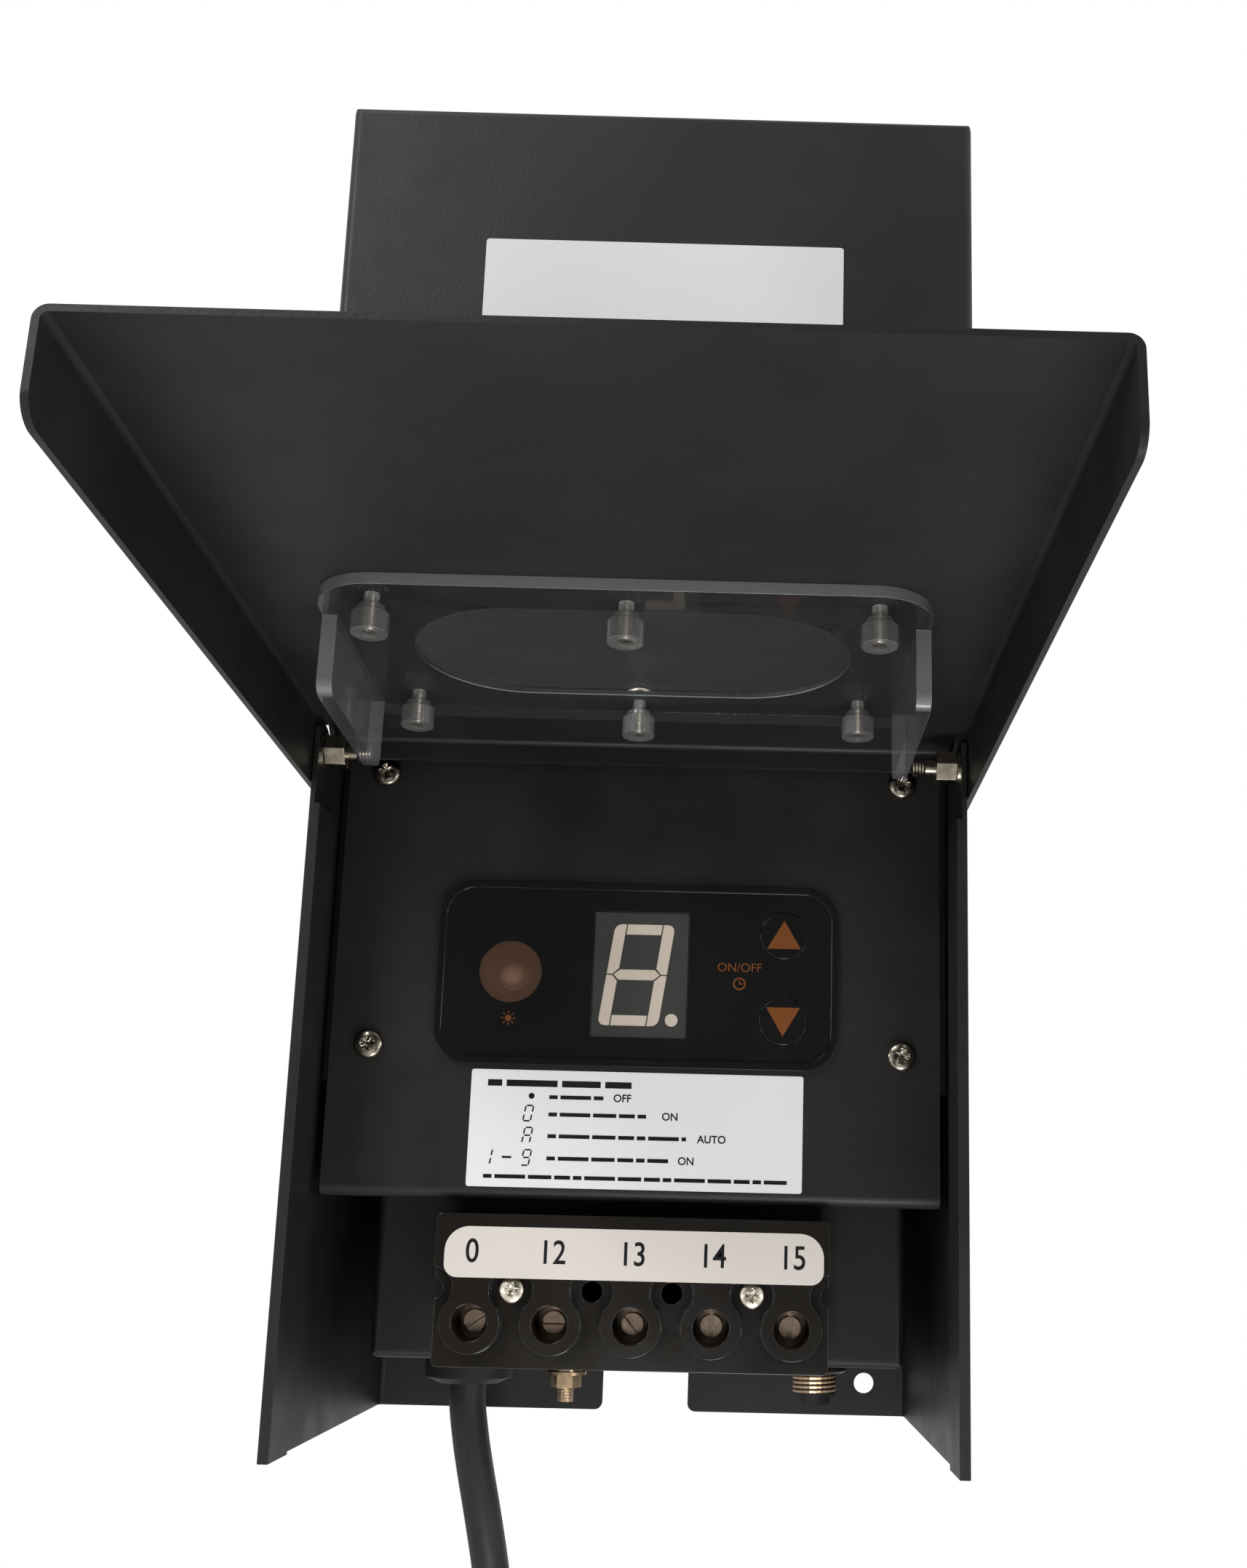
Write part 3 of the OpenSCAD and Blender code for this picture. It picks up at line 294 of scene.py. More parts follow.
def smoky(name, dark, light, shade):
    """A dark window that half shows what stands behind it."""
    material, tree, shader = nodes_of(name)
    tint(tree, noise(tree, 60), shader.inputs["Base Color"], dark, light)
    spread(tree, noise(tree, 60 * ROUGHNESS_FINER), shader.inputs["Roughness"], *SMOKE_ROUGH)
    through = add(tree, "ShaderNodeBsdfTransparent", Color=(*shade, 1))
    joined(tree, shader.outputs["BSDF"], through.outputs["BSDF"], SMOKE_SHARE)
    return material


# The hinge axis, as distance and height. The lens is frosted only below the top of its flange, which is
# measured from that axis, and only further from the wall than LENS_BACK. The frost goes a little higher
# than that top: a thin band on the raised window's walls that is a painted highlight round the oval.

PIVOT = (112.5, 157.0)
DOOR_TILT = math.radians(2.6)
LENS_UP = Vector((0, math.sin(DOOR_TILT), math.cos(DOOR_TILT)))
LENS_FLANGE = 7.8
LENS_HIGHLIGHT_BAND = 0.25
LENS_BACK = 130
lens_plane = place(0, *PIVOT).dot(LENS_UP) + (LENS_FLANGE + LENS_HIGHLIGHT_BAND) * MM

powder = surface("powder_coat", (0.0085, 0.0081, 0.0074), (0.0135, 0.0128, 0.0116), (0.42, 0.52),
                 grain=1500, grain_depth=0.00004, specular=0.25)
gloss_black = surface("gloss_black", (0.0105, 0.0090, 0.0076), (0.0145, 0.0125, 0.0105), (0.1, 0.16),
                      grain=500, specular=0.5)
deep_black = surface("deep_black", (0.0070, 0.0070, 0.0071), (0.0090, 0.0089, 0.0087), (0.06, 0.12),
                     grain=400, grain_depth=0.000004, specular=0.3)
matt_black = surface("matt_black", (0.010, 0.010, 0.010), (0.018, 0.018, 0.018), (0.5, 0.65), specular=0.2)
rubber = surface("cord_rubber", (0.010, 0.010, 0.010), (0.016, 0.016, 0.016), (0.4, 0.55), grain=700,
                 specular=0.25)

METAL = {"blotch": 300, "grain": 2500, "grain_depth": 0.00001}
nickel = surface("nickel", (0.50, 0.45, 0.36), (0.68, 0.63, 0.53), (0.2, 0.36), 1.0, **METAL)
# Nickel with its tone darkened to paint the dark reflections that these screws, bolts, washers and nuts
# show
nickel_painted_dark = surface("nickel_painted_dark", (0.20, 0.175, 0.135), (0.36, 0.32, 0.26), (0.16, 0.3), 1.0, **METAL)
brass = surface("brass", (0.30, 0.215, 0.13), (0.46, 0.345, 0.225), (0.25, 0.45), 1.0, **METAL)
zinc = surface("zinc", (0.52, 0.50, 0.46), (0.70, 0.68, 0.64), (0.25, 0.42), 1.0, 250, 2500, 0.00001)
dull_brass = surface("dull_brass", (0.34, 0.245, 0.18), (0.46, 0.34, 0.25), (0.38, 0.55), 0.45, 400, 2500,
                     0.00002)
lamination = surface("lamination", (0.10, 0.10, 0.105), (0.2, 0.2, 0.21), (0.35, 0.55), 0.9, 60, 2000,
                     0.00006, (0, 1, 0))
copper = surface("copper", (0.30, 0.10, 0.03), (0.45, 0.17, 0.06), (0.3, 0.45), 0.8, 80, 1200, 0.00015,
                 (0, 0, 1))

nylon = surface("nylon", (0.55, 0.50, 0.36), (0.66, 0.61, 0.47), (0.45, 0.6))
board_green = surface("board_green", (0.01, 0.08, 0.03), (0.02, 0.13, 0.05), (0.3, 0.45))
sleeve_blue = surface("sleeve_blue", (0.02, 0.03, 0.12), (0.03, 0.05, 0.18), (0.25, 0.35))
display_grey = surface("display_grey", (0.020, 0.0195, 0.019), (0.027, 0.026, 0.025), (0.4, 0.5), grain=800)
segment_white = surface("segment_white", (0.43, 0.365, 0.295), (0.49, 0.42, 0.345), (0.4, 0.5), grain=900)

PAPER = {"blotch": 12, "grain": 1200, "grain_depth": 0.00001}
label_white = surface("label_white", (0.62, 0.615, 0.61), (0.68, 0.675, 0.665), (0.45, 0.6), **PAPER)
warm_white = surface("warm_white", (0.50, 0.46, 0.42), (0.57, 0.525, 0.48), (0.4, 0.55), **PAPER)
ink = surface("ink", (0.006, 0.006, 0.006), (0.012, 0.012, 0.012), (0.5, 0.6), specular=0.1)
print_orange = surface("print_orange", (0.125, 0.040, 0.010), (0.155, 0.050, 0.013), (0.4, 0.5), grain=600,
                       specular=0.15)

smoked = smoky("smoked_window", (0.12, 0.068, 0.046), (0.14, 0.080, 0.056), (0.95, 0.84, 0.78))
# The sensor's pale resin is painted brighter than its own colour: a painted highlight that shows through
# the dark window
sensor_resin_painted_highlight = surface("sensor_resin_painted_highlight", (0.74, 0.68, 0.62), (0.88, 0.83, 0.78), (0.08, 0.15), grain=300)
# The lens's least frost, 0.022, is a painted sheen: a faint grey veil over all its faces
acrylic = clear("clear_acrylic", (0.98, 0.985, 0.99), (0.27, 0.275, 0.285), 0.16, 0.5, 0.022, LENS_UP,
                lens_plane, -LENS_BACK * MM)
cap_acrylic = clear("cap_acrylic", (0.62, 0.62, 0.61), (0.36, 0.36, 0.355), 0.16, 0.16, 0.16)

NODE_MATERIALS = {
    powder: ["enclosure_shell", "cover", "panel_brackets", "control_panel", "terminal_chassis", "door"],
    gloss_black: ["terminal_block", "button_up", "button_down", "breaker_nut"],
    deep_black: ["display_housing"],
    matt_black: ["cord_gland", "gland_nut", "breaker", "breaker_reset", "relay", "controller_chip",
                 "coil_tie"],
    rubber: ["plug_body"],
    nickel: ["board_screws", "block_screws", "lens_screws"],
    nickel_painted_dark: ["cover_screws", "panel_screws", "hinge_bolts", "hinge_washers", "hinge_nuts"],
    zinc: ["core_studs", "core_spacers", "core_nuts"],
    brass: ["earth_stud", "earth_nuts", "plug_blades"],
    dull_brass: ["terminal_inserts", "upper_terminal_screws", "terminal_screw_1", "terminal_screw_2",
                 "terminal_screw_3", "terminal_screw_4", "terminal_screw_5"],
    lamination: ["core_laminations"],
    copper: ["primary_winding", "secondary_winding"],
    nylon: ["bobbin"],
    board_green: ["control_board"],
    sleeve_blue: ["capacitor"],
    display_grey: ["digit_module"],
    segment_white: ["digit_segments"],
    smoked: ["photocell_window"],
    sensor_resin_painted_highlight: ["photocell_sensor"],
    acrylic: ["door_lens"],
    cap_acrylic: ["lens_caps"],
}


def dress_nodes():
    for material, names in NODE_MATERIALS.items():
        for name in names:
            mesh = frame["nodes"][name].data
            mesh.materials.clear()
            mesh.materials.append(material)


dress_nodes()


# A piece of its own, and a node with its edges eased

EASE_STEPS = 2
EASE_FROM = math.radians(32)
FLAT_WITHIN = math.radians(1.5)
FACE_WEIGHT = 80


def new_object(name, mesh, material, body):
    piece = bpy.data.objects.new(name, mesh)
    bpy.context.scene.collection.objects.link(piece)
    mesh.materials.clear()
    mesh.materials.append(material)
    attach(piece, body)
    return piece


def softened(node, width, material):
    """The node's own form with its sharp edges eased, in place of the node."""
    mesh = frame["nodes"][node].data.copy()
    form = bmesh.new()
    form.from_mesh(mesh)
    bmesh.ops.remove_doubles(form, verts=form.verts, dist=WELD)
    bmesh.ops.dissolve_limit(form, angle_limit=FLAT_WITHIN, verts=form.verts, edges=form.edges)
    form.to_mesh(mesh)
    form.free()
    for face in mesh.polygons:
        face.use_smooth = True
    piece = new_object(node + "_eased", mesh, material, frame["nodes"][node]["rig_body"])
    ease = piece.modifiers.new("ease", "BEVEL")
    ease.width = width * MM
    ease.segments = EASE_STEPS
    ease.limit_method = "ANGLE"
    ease.angle_limit = EASE_FROM
    level = piece.modifiers.new("level", "WEIGHTED_NORMAL")
    level.mode = "FACE_AREA"
    level.weight = FACE_WEIGHT
    level.keep_sharp = True
    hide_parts(node)
    return piece


# The cord, one line from the gland through its coil to the plug

CORD_D = 9.5
CORD_ROUTE = [(-43.4, 38, 10.2), (-43.4, 38, 5), (-42.4, 38, -2), (-40.6, 38, -11), (-38, 37.2, -23),
              (-35.4, 34.4, -38), (-33.6, 29, -56), (-33, 22.7, -74), (-33, 18.4, -90), (-33, 17, -102)]
TAIL_ROUTE = [(-33, 7, -122), (-33, 7, -132), (-34, 7.6, -145), (-36, 9.2, -158), (-38, 10.9, -170),
              (-39, 11.8, -181), (-39, 12, -192)]
COIL_CENTRE = (31, 17, -112)
COIL_R = 64
COIL_TURNS = 4
COIL_STEP = 10
COIL_POINTS = 24
CORD_SMOOTHNESS = 4
PLUG_EASE = 1.2


def coil_points():
    """Turns that wind in to the middle, step across by a cord's width, and wind out again beside it."""
    points = []
    half = COIL_TURNS / 2
    for i in range(COIL_TURNS * COIL_POINTS + 1):
        turn = i / COIL_POINTS
        radius = COIL_R - COIL_STEP * (half - abs(turn - half))
        climb = COIL_STEP * min(1, max(0, 2 * (turn - half) + 0.5))
        angle = 2 * math.pi * turn
        points.append((COIL_CENTRE[0] - radius * math.cos(angle), COIL_CENTRE[1] - climb,
                       COIL_CENTRE[2] - radius * math.sin(angle)))
    return points


def make_cord():
    plug = softened("plug_body", PLUG_EASE, rubber)
    route = [place(*p) for p in CORD_ROUTE + coil_points() + TAIL_ROUTE]
    curve = bpy.data.curves.new("mains_cord", "CURVE")
    curve.dimensions = "3D"
    curve.bevel_depth = CORD_D / 2 * MM
    curve.bevel_resolution = CORD_SMOOTHNESS
    curve.resolution_u = CORD_SMOOTHNESS
    spline = curve.splines.new("BEZIER")
    spline.bezier_points.add(len(route) - 1)
    for point, at in zip(spline.bezier_points, route):
        point.co = at
        point.handle_left_type = "AUTO"
        point.handle_right_type = "AUTO"
    curve.materials.append(rubber)
    cord = bpy.data.objects.new("mains_cord", curve)
    bpy.context.scene.collection.objects.link(cord)
    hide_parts("cord_run", "cord_coil", "cord_tail")
    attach(cord, BODY)


make_cord()


# Outlines, plates and printed characters

def arc(cx, cz, r, start, end, steps=8):
    """Points of an arc from one angle to another, in degrees."""
    angles = [math.radians(start + (end - start) * i / steps) for i in range(steps + 1)]
    return [(cx + r * math.cos(a), cz + r * math.sin(a)) for a in angles]


def disc(x, z, r, count=24):
    return arc(x, z, r, 0, 360 - 360 / count, count - 1)


def turned(x, z, angle):
    """A flat point turned about the origin."""
    return x * math.cos(angle) - z * math.sin(angle), x * math.sin(angle) + z * math.cos(angle)


def rounded(x0, x1, z0, z1, low_r, high_r):
    """The outline of a rectangle with its lower and upper corners round."""
    return (arc(x0 + low_r, z0 + low_r, low_r, 180, 270) + arc(x1 - low_r, z0 + low_r, low_r, 270, 360)
            + arc(x1 - high_r, z1 - high_r, high_r, 0, 90) + arc(x0 + high_r, z1 - high_r, high_r, 90, 180))


def plate(name, outlines, depth, thickness, material, body=BODY):
    """Flat shapes in x and z, standing on a plane at a depth and as thick as given towards the front."""
    form = bmesh.new()
    for outline in outlines:
        rings = [[form.verts.new(place(x, d, z)) for x, z in outline] for d in (depth, depth + thickness)]
        form.faces.new(rings[0])
        form.faces.new(rings[1][::-1])
        count = len(outline)
        for i in range(count):
            j = (i + 1) % count
            form.faces.new((rings[0][i], rings[1][i], rings[1][j], rings[0][j]))
    bmesh.ops.recalc_face_normals(form, faces=form.faces)
    mesh = bpy.data.meshes.new(name)
    form.to_mesh(mesh)
    form.free()
    return new_object(name, mesh, material, body)


CAPITAL_SHARE = 0.72
LETTER_RISE = 0.00003


def lettering(name, words, x, depth, z, height, material, stretch=1.0, weight=0.0):
    """Printed characters that face the front, centred on a point, with capitals of a height."""
    font = bpy.data.curves.new(name, "FONT")
    font.body = words
    font.size = height * MM / CAPITAL_SHARE
    font.align_x = "CENTER"
    font.align_y = "CENTER"
    font.extrude = LETTER_RISE
    font.offset = weight * MM
    text = bpy.data.objects.new(name + "_line", font)
    bpy.context.scene.collection.objects.link(text)
    text.matrix_world = (Matrix.Translation(place(x, depth, z)) @ Matrix.Rotation(math.radians(90), 4, "X")
                         @ Matrix.Diagonal((stretch, 1, 1, 1)))
    bpy.context.view_layer.update()
    ready = text.evaluated_get(bpy.context.evaluated_depsgraph_get())
    mesh = bpy.data.meshes.new_from_object(ready)
    mesh.transform(text.matrix_world)
    bpy.data.objects.remove(text)
    return new_object(name, mesh, material, BODY)


# Labels: white plates with generic marks only

PANEL_FACE = 96
HOUSING_FACE = 97.0
BLOCK_FRONT = 98
COVER_FACE = 121.5
LABEL_T = 0.15
INK_T = 0.03

POLE_PITCH = 18.2
BLOCK_X = 1.2
POLE_MARKS = ("0", "12", "13", "14", "15")
POLE_LABEL = (-41.5, 44.7, 38.6, 50.0)
POLE_MARK_Z = 44.3
POLE_MARK_H = 5.4


def terminal_label():
    plate("terminal_label", [rounded(*POLE_LABEL, 3, 5.5)], BLOCK_FRONT, LABEL_T, warm_white)
    for i, mark in enumerate(POLE_MARKS):
        x = BLOCK_X + (i - 2) * POLE_PITCH
        lettering(f"pole_mark_{i + 1}", mark, x, BLOCK_FRONT + LABEL_T, POLE_MARK_Z, POLE_MARK_H, ink,
                  0.85, 0.06)


terminal_label()


def bar(x0, x1, z, height):
    """The outline of a bar from x0 to x1, with z its middle."""
    return [(x0, z - height / 2), (x1, z - height / 2), (x1, z + height / 2), (x0, z + height / 2)]


FIGURE_LEAN = math.tan(math.radians(10))
FIGURE_HALF = 0.27
FIGURE_STROKE = 0.09


def seven_segment(x, z, height, lit):
    """Outlines of a slanted seven-segment figure; lit names its strokes in the usual order a to g."""
    w, h, t = height * FIGURE_HALF, height / 2, height * FIGURE_STROKE
    strokes = {
        "a": [(-w + t, h - t), (w - t, h - t), (w - t, h), (-w + t, h)],
        "g": [(-w + t, -t / 2), (w - t, -t / 2), (w - t, t / 2), (-w + t, t / 2)],
        "d": [(-w + t, -h), (w - t, -h), (w - t, t - h), (-w + t, t - h)],
        "f": [(-w, t), (t - w, t), (t - w, h - t), (-w, h - t)],
        "b": [(w - t, t), (w, t), (w, h - t), (w - t, h - t)],
        "e": [(-w, t - h), (t - w, t - h), (t - w, -t), (-w, -t)],
        "c": [(w - t, t - h), (w, t - h), (w, -t), (w - t, -t)],
    }
    return [[(x + px + pz * FIGURE_LEAN, z + pz) for px, pz in strokes[name]] for name in lit]


WORD_GAP = 0.7
SHORTEST_WORD = 2.2
WORD_STEP = 1.9


def greeked(x0, x1, z, height):
    """Bars of four lengths in place of a line of small words."""
    words, gap, at, i = [], height * WORD_GAP, x0, 0
    while at < x1 - height:
        end = min(x1, at + height * (SHORTEST_WORD + WORD_STEP * ((i * 7) % 4)))
        words.append(bar(at, end, z, height))
        at = end + gap
        i += 1
    return words


# The panel's label, with a title, figures, a dot, a dash and a last line. Each of the other lines has a
# name, a word, where the bars before the word end, the word's middle and the line's height

PANEL_LABEL = (-37.9, 39.5, 59.0, 86.0)
LABEL_LEFT = -34.0
TITLE = (LABEL_LEFT, 0.0, 82.9, 1.5)
LAST_LINE = (LABEL_LEFT, 36.0, 61.4, 0.9)
GLYPH_X = -24.3
GLYPH_H = 3.9
FIGURES = ((0, 76.0, "abcdef"), (0, 70.9, "abcefg"), (-9.0, 65.8, "bc"), (0, 65.8, "abcdfg"))
DOT = (GLYPH_X + 0.6, 80.0, 0.7)
DASH = (GLYPH_X - 5.6, GLYPH_X - 3.4, 65.8, 0.5)
WORDS_X = -19.6
BAR_H = 0.9
WORD_H = 1.8
LABEL_LINES = (
    ("off", "OFF", -7.0, -2.6, 79.8),
    ("on", "ON", 4.5, 8.6, 75.8),
    ("auto", "AUTO", 12.5, 18.4, 70.8),
    ("timed", "ON", 8.5, 12.6, 65.7),
)


def instruction_label():
    plate("panel_label", [rounded(*PANEL_LABEL, 0.6, 0.6)], PANEL_FACE, LABEL_T, label_white)
    face = PANEL_FACE + LABEL_T
    marks = greeked(*TITLE) + [disc(*DOT)]
    for x, z, lit in FIGURES:
        marks += seven_segment(GLYPH_X + x, z, GLYPH_H, lit)
    marks += [bar(*DASH)]
    for _, _, end, _, z in LABEL_LINES:
        marks += greeked(WORDS_X, end, z, BAR_H)
    marks += greeked(*LAST_LINE)
    plate("panel_label_marks", marks, face, INK_T, ink)
    for name, word, _, x, z in LABEL_LINES:
        lettering("panel_word_" + name, word, x, face, z, WORD_H, ink, 0.95, 0.05)


instruction_label()


# Signs on the display housing and its buttons

DISPLAY_Z = 109
BUTTON_X = 34.4
BUTTON_RISE = 20.4
BUTTON_FACE = -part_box("button_up")[0].y / MM
ARROW_HALF, ARROW_BASE, ARROW_TIP = 4.0, 3.2, 3.6
TIMER_X = 24.0
TIMER_Z = DISPLAY_Z - 1.6
SUN_X = -30
SUN_Z = DISPLAY_Z - 11.0
SUN_RAYS = 8
SUN_RAY = ((1.05, -0.13), (1.7, -0.13), (1.7, 0.13), (1.05, 0.13))


def sign(name, outlines, material=print_orange, lift=0.0, thickness=INK_T):
    plate(name, outlines, HOUSING_FACE + lift, thickness, material)


def housing_print():
    for name, side in (("button_up", 1), ("button_down", -1)):
        z = DISPLAY_Z + side * BUTTON_RISE / 2
        base, tip = z - side * ARROW_BASE, z + side * ARROW_TIP
        arrow = [(BUTTON_X - ARROW_HALF, base), (BUTTON_X + ARROW_HALF, base), (BUTTON_X, tip)]
        plate(name + "_arrow", [arrow], BUTTON_FACE, INK_T, print_orange, name)
    lettering("button_words", "ON/OFF", TIMER_X, HOUSING_FACE, DISPLAY_Z + 2.2, 2.1, print_orange)
    sign("timer_mark", [disc(TIMER_X, TIMER_Z, 1.5)])
    sign("timer_mark_face", [disc(TIMER_X, TIMER_Z, 1.15)], deep_black, INK_T, INK_T / 2)
    hands = [bar(TIMER_X - 0.15, TIMER_X + 0.15, TIMER_Z + 0.4, 0.9),
             bar(TIMER_X - 0.15, TIMER_X + 0.75, TIMER_Z, 0.3)]
    sign("timer_mark_hands", hands, print_orange, INK_T * 1.5, INK_T / 2)
    sun = [disc(SUN_X, SUN_Z, 0.75)]
    for i in range(SUN_RAYS):
        ray = [turned(x, z, 2 * math.pi * i / SUN_RAYS) for x, z in SUN_RAY]
        sun.append([(SUN_X + x, SUN_Z + z) for x, z in ray])
    sign("light_mark", sun)


housing_print()

COVER_PLATE = (-41.7, 45.0, 232.0, 285.0)
plate("cover_plate", [rounded(*COVER_PLATE, 0.8, 0.8)], COVER_FACE, LABEL_T, label_white)


THREAD_POINTS = 24


def thread(name, at, direction, r, root, length, pitch, material, slot):
    """A helical thread: rows of points that climb one pitch a turn, crest and root by turns."""
    direction = Vector(direction)
    side = direction.orthogonal().normalized()
    other = direction.cross(side)
    rows = 2 * int(length / pitch)
    form = bmesh.new()
    grid = []
    for i in range(rows):
        radius = r if i % 2 else root
        ring = []
        for k in range(THREAD_POINTS):
            a = 2 * math.pi * k / THREAD_POINTS
            climb = pitch * (i / 2 + k / THREAD_POINTS)
            spot = (side * math.cos(a) + other * math.sin(a)) * radius + direction * min(climb, length)
            ring.append(form.verts.new(at + spot * MM))
        grid.append(ring)
    for i in range(rows - 1):
        for k in range(THREAD_POINTS - 1):
            form.faces.new((grid[i][k], grid[i][k + 1], grid[i + 1][k + 1], grid[i + 1][k]))
        if i + 3 < rows:
            form.faces.new((grid[i][-1], grid[i + 2][0], grid[i + 3][0], grid[i + 1][-1]))
    bmesh.ops.recalc_face_normals(form, faces=form.faces)
    mesh = bpy.data.meshes.new(name)
    form.to_mesh(mesh)
    form.free()
    new_object(name, mesh, material, BODY)


# Each thread's radius, root, length and pitch. What stands in the floor is as far from the wall as the cord

BOLT_THREAD = (2.1, 1.9, 3.4, 0.7)
BREAKER_THREAD = (5.75, 5.52, 7.5, 1.1)
EARTH_THREAD = (2.05, 1.91, 3.5, 0.7)
BOLT_THREAD_X = 62.6
FIT_DEPTH = 38


def threads():
    for name, side in (("left", -1), ("right", 1)):
        at = place(side * BOLT_THREAD_X, *PIVOT)
        thread("bolt_thread_" + name, at, (side, 0, 0), *BOLT_THREAD, nickel_painted_dark, "bolt_steel")
    for name, node, sizes in (("breaker_thread", "breaker", BREAKER_THREAD),
                              ("earth_thread", "earth_stud", EARTH_THREAD)):
        low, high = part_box(node)
        at = Vector(((low.x + high.x) / 2, -FIT_DEPTH * MM, low.z))
        thread(name, at, (0, 0, 1), *sizes, brass, "brass")


threads()


# Screw heads with a cross recess, cut into a copy of the node. The mouth and the foot of a cross have two
# shares of its radius, which are how far it reaches and half the width of its arms

CROSS_MOUTH = (0.72, 0.17)
CROSS_FOOT = (0.3, 0.1)
CROSS_OVER = 0.3
FIRST_TURN, NEXT_TURN = 0.5, 1.3
SMOOTH_WITHIN = math.radians(35)


def cross_cut(form, at, out, r, depth, turn):
    """A cross that narrows as it goes in, for cutting out of a screw's head."""
    side = out.orthogonal().normalized()
    other = out.cross(side)
    rings = []
    for lift, shares in ((CROSS_OVER, CROSS_MOUTH), (-depth, CROSS_FOOT)):
        reach, half = (share * r for share in shares)
        ring = []
        for k in range(4):
            for x, y in ((reach, -half), (reach, half), (half, half)):
                tx, ty = turned(x, y, turn + k * math.pi / 2)
                ring.append(form.verts.new(at + (side * tx + other * ty + out * lift) * MM))
        rings.append(ring)
    count = len(rings[0])
    form.faces.new(rings[0])
    form.faces.new(rings[1][::-1])
    for i in range(count):
        j = (i + 1) % count
        form.faces.new((rings[1][i], rings[1][j], rings[0][j], rings[0][i]))


def islands(mesh):
    """The lowest and highest corner of each separate solid in a mesh."""
    form = bmesh.new()
    form.from_mesh(mesh)
    bmesh.ops.remove_doubles(form, verts=form.verts, dist=WELD)
    form.verts.ensure_lookup_table()
    seen, boxes = set(), []
    for start in form.verts:
        if start.index in seen:
            continue
        seen.add(start.index)
        queue, spots = [start], []
        while queue:
            vert = queue.pop()
            spots.append(vert.co.copy())
            for edge in vert.link_edges:
                nearby = edge.other_vert(vert)
                if nearby.index not in seen:
                    seen.add(nearby.index)
                    queue.append(nearby)
        boxes.append([Vector(pick(spot[k] for spot in spots) for k in range(3)) for pick in (min, max)])
    form.free()
    return boxes


def cross_headed(node, out, r, depth, material):
    """The node's screws with a cross in each head; out is the way they face, or None for outwards in x."""
    source = frame["nodes"][node]
    cutter = bmesh.new()
    for i, (low, high) in enumerate(islands(source.data)):
        middle = (low + high) / 2
        way = Vector(out) if out else Vector((math.copysign(1, middle.x), 0, 0))
        top = middle + Vector([way[k] * (high[k] - low[k]) / 2 for k in range(3)])
        cross_cut(cutter, top, way, r, depth, FIRST_TURN + NEXT_TURN * i)
    bmesh.ops.recalc_face_normals(cutter, faces=cutter.faces)
    cut_mesh = bpy.data.meshes.new(node + "_crosses")
    cutter.to_mesh(cut_mesh)
    cutter.free()
    crosses = bpy.data.objects.new(node + "_crosses", cut_mesh)
    bpy.context.scene.collection.objects.link(crosses)
    form = bmesh.new()
    form.from_mesh(source.data)
    bmesh.ops.remove_doubles(form, verts=form.verts, dist=WELD)
    mesh = bpy.data.meshes.new(node + "_crossed")
    form.to_mesh(mesh)
    form.free()
    piece = new_object(node + "_crossed", mesh, material, source["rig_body"])
    cut = piece.modifiers.new("cut", "BOOLEAN")
    cut.solver = "EXACT"
    cut.operation = "DIFFERENCE"
    cut.object = crosses
    bpy.context.view_layer.update()
    ready = piece.evaluated_get(bpy.context.evaluated_depsgraph_get())
    mesh = bpy.data.meshes.new_from_object(ready)
    piece.modifiers.clear()
    piece.data = mesh
    bpy.data.objects.remove(crosses)
    for face in mesh.polygons:
        face.use_smooth = True
    mesh.set_sharp_from_angle(angle=SMOOTH_WITHIN)
    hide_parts(node)


cross_headed("panel_screws", (0, -1, 0), 2.6, 1.3, nickel_painted_dark)
cross_headed("block_screws", (0, -1, 0), 2.2, 1.1, nickel)
cross_headed("cover_screws", None, 2.6, 1.2, nickel_painted_dark)
cross_headed("lens_screws", (0, 0, 1), 2.2, 1.0, nickel)

EASED = (
    (0.3, powder, "powder_coat", ["enclosure_shell", "cover", "control_panel", "terminal_chassis", "door"]),
    (0.5, gloss_black, "housing_black", ["terminal_block"]),
    (0.25, deep_black, "housing_black", ["display_housing"]),
    (0.3, nickel_painted_dark, "bolt_steel", ["hinge_nuts"]),
    (0.3, deep_black, "housing_black", ["button_up", "button_down"]),
    (0.2, acrylic, "clear_plastic", ["door_lens"]),
    (0.3, cap_acrylic, "clear_plastic", ["lens_caps"]),
)
for width, material, slot, nodes in EASED:
    for node in nodes:
        softened(node, width, material)


# The studio, which isn't part of the object

STUDIO_ROUGH = 0.9
FLOOR_SHADE = 0.95
FLOOR_GAP = 0.004
FLOOR_HALF = 0.95
CARD_SHADE = 0.01
CARD_Y = -0.6
CARD_HALF = 0.28
CARD_LOW, CARD_HIGH = -0.41, 0.4


def studio_piece(name, paint, shade, corners):
    """A flat matt piece of the studio, and its material's tree and shader."""
    mesh = bpy.data.meshes.new(name)
    mesh.from_pydata(corners, [], [(0, 1, 2, 3)])
    piece = bpy.data.objects.new(name, mesh)
    bpy.context.scene.collection.objects.link(piece)
    material, tree, shader = nodes_of(paint)
    shader.inputs["Base Color"].default_value = (shade, shade, shade, 1)
    shader.inputs["Roughness"].default_value = STUDIO_ROUGH
    mesh.materials.append(material)
    return piece, tree, shader


def floor():
    """A white floor, which views from below see through."""
    z = cad_box[0][2] - FLOOR_GAP
    corners = [(x * FLOOR_HALF, y * FLOOR_HALF, z) for x, y in ((-1, -1), (1, -1), (1, 1), (-1, 1))]
    _, tree, shader = studio_piece("studio_floor", "studio_white", FLOOR_SHADE, corners)
    below = add(tree, "ShaderNodeNewGeometry")
    gone = add(tree, "ShaderNodeBsdfTransparent")
    joined(tree, shader.outputs["BSDF"], gone.outputs["BSDF"], below.outputs["Backfacing"])


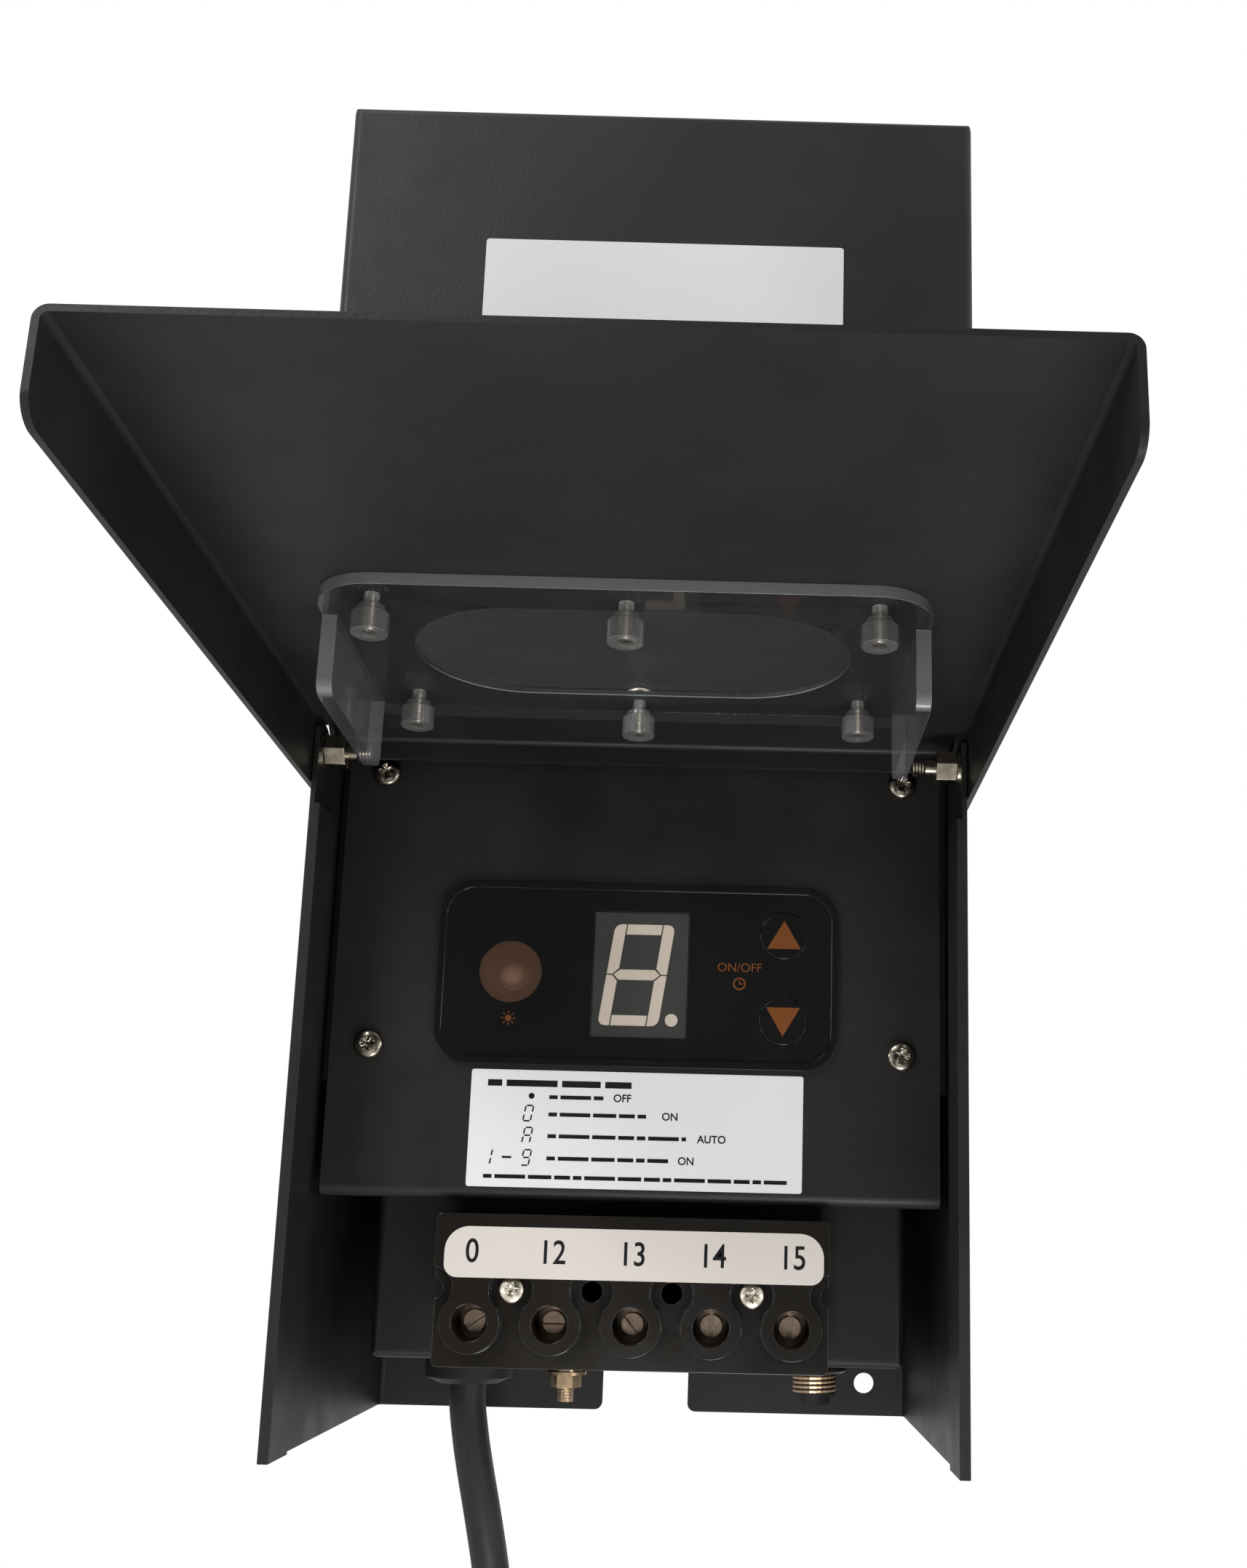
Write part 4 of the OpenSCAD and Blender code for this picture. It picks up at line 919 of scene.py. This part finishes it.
def dark_card():
    """What shines shows this in place of the white surroundings, as it would the dark beside a camera."""
    edges = ((-1, CARD_LOW), (1, CARD_LOW), (1, CARD_HIGH), (-1, CARD_HIGH))
    corners = [(x * CARD_HALF, CARD_Y, z) for x, z in edges]
    card, _, _ = studio_piece("dark_card", "card_black", CARD_SHADE, corners)
    card.visible_camera = False
    card.visible_diffuse = False
    card.visible_shadow = False


# Each lamp's name, place, what it faces, size and power

LAMPS = (
    ("key", (-0.9, -1.3, 1.2), (0, -0.1, 0), 0.8, 17.5),
    ("front", (0, -0.62, -0.27), (0, -0.1, -0.1), 0.12, 0.45),
    ("low_left", (-0.6, -0.7, -0.22), (0, -0.1, 0), 0.16, 0.55),
    ("low_right", (0.62, -0.7, -0.22), (0, -0.1, 0), 0.16, 0.8),
    ("under", (0.05, -0.27, -0.38), (0, -0.2, 0.1), 0.16, 0.75),
    ("left_side", (-1.3, -0.35, 0.15), (0, -0.1, 0), 0.25, 3.5),
    ("right_side", (1.3, -0.45, 0.05), (0, -0.1, 0), 0.25, 3.5),
)
AMBIENT_GREY = 0.8
AMBIENT_STRENGTH = 0.45


def lamps():
    for name, at, towards, size, power in LAMPS:
        data = bpy.data.lights.new(name, "AREA")
        data.shape = "DISK"
        data.size = size
        data.energy = power
        light = bpy.data.objects.new(name, data)
        bpy.context.scene.collection.objects.link(light)
        light.visible_camera = False
        light.location = at
        light.rotation_euler = (Vector(towards) - Vector(at)).to_track_quat("-Z", "Y").to_euler()


def world():
    """White where the camera, gloss and clear pieces look past the object, and a plain grey light on it."""
    made = bpy.data.worlds.new("studio")
    bpy.context.scene.world = made
    made.use_nodes = True
    tree = made.node_tree
    back = tree.nodes["Background"]
    back.inputs["Color"].default_value = (AMBIENT_GREY, AMBIENT_GREY, AMBIENT_GREY, 1)
    back.inputs["Strength"].default_value = AMBIENT_STRENGTH
    white = add(tree, "ShaderNodeBackground", Strength=1.0)
    white.inputs["Color"].default_value = (1, 1, 1, 1)
    rays = add(tree, "ShaderNodeLightPath")
    seen = rays.outputs["Is Camera Ray"]
    for kind in ("Is Glossy Ray", "Is Transmission Ray"):
        seen = calculated(tree, "MAXIMUM", seen, rays.outputs[kind])
    mix = add(tree, "ShaderNodeMixShader")
    out = tree.nodes["World Output"]
    tree.links.new(seen, mix.inputs["Fac"])
    tree.links.new(back.outputs["Background"], mix.inputs[1])
    tree.links.new(white.outputs["Background"], mix.inputs[2])
    tree.links.new(mix.outputs["Shader"], out.inputs["Surface"])


floor()
dark_card()
world()
lamps()
bpy.context.scene.view_settings.view_transform = "Standard"
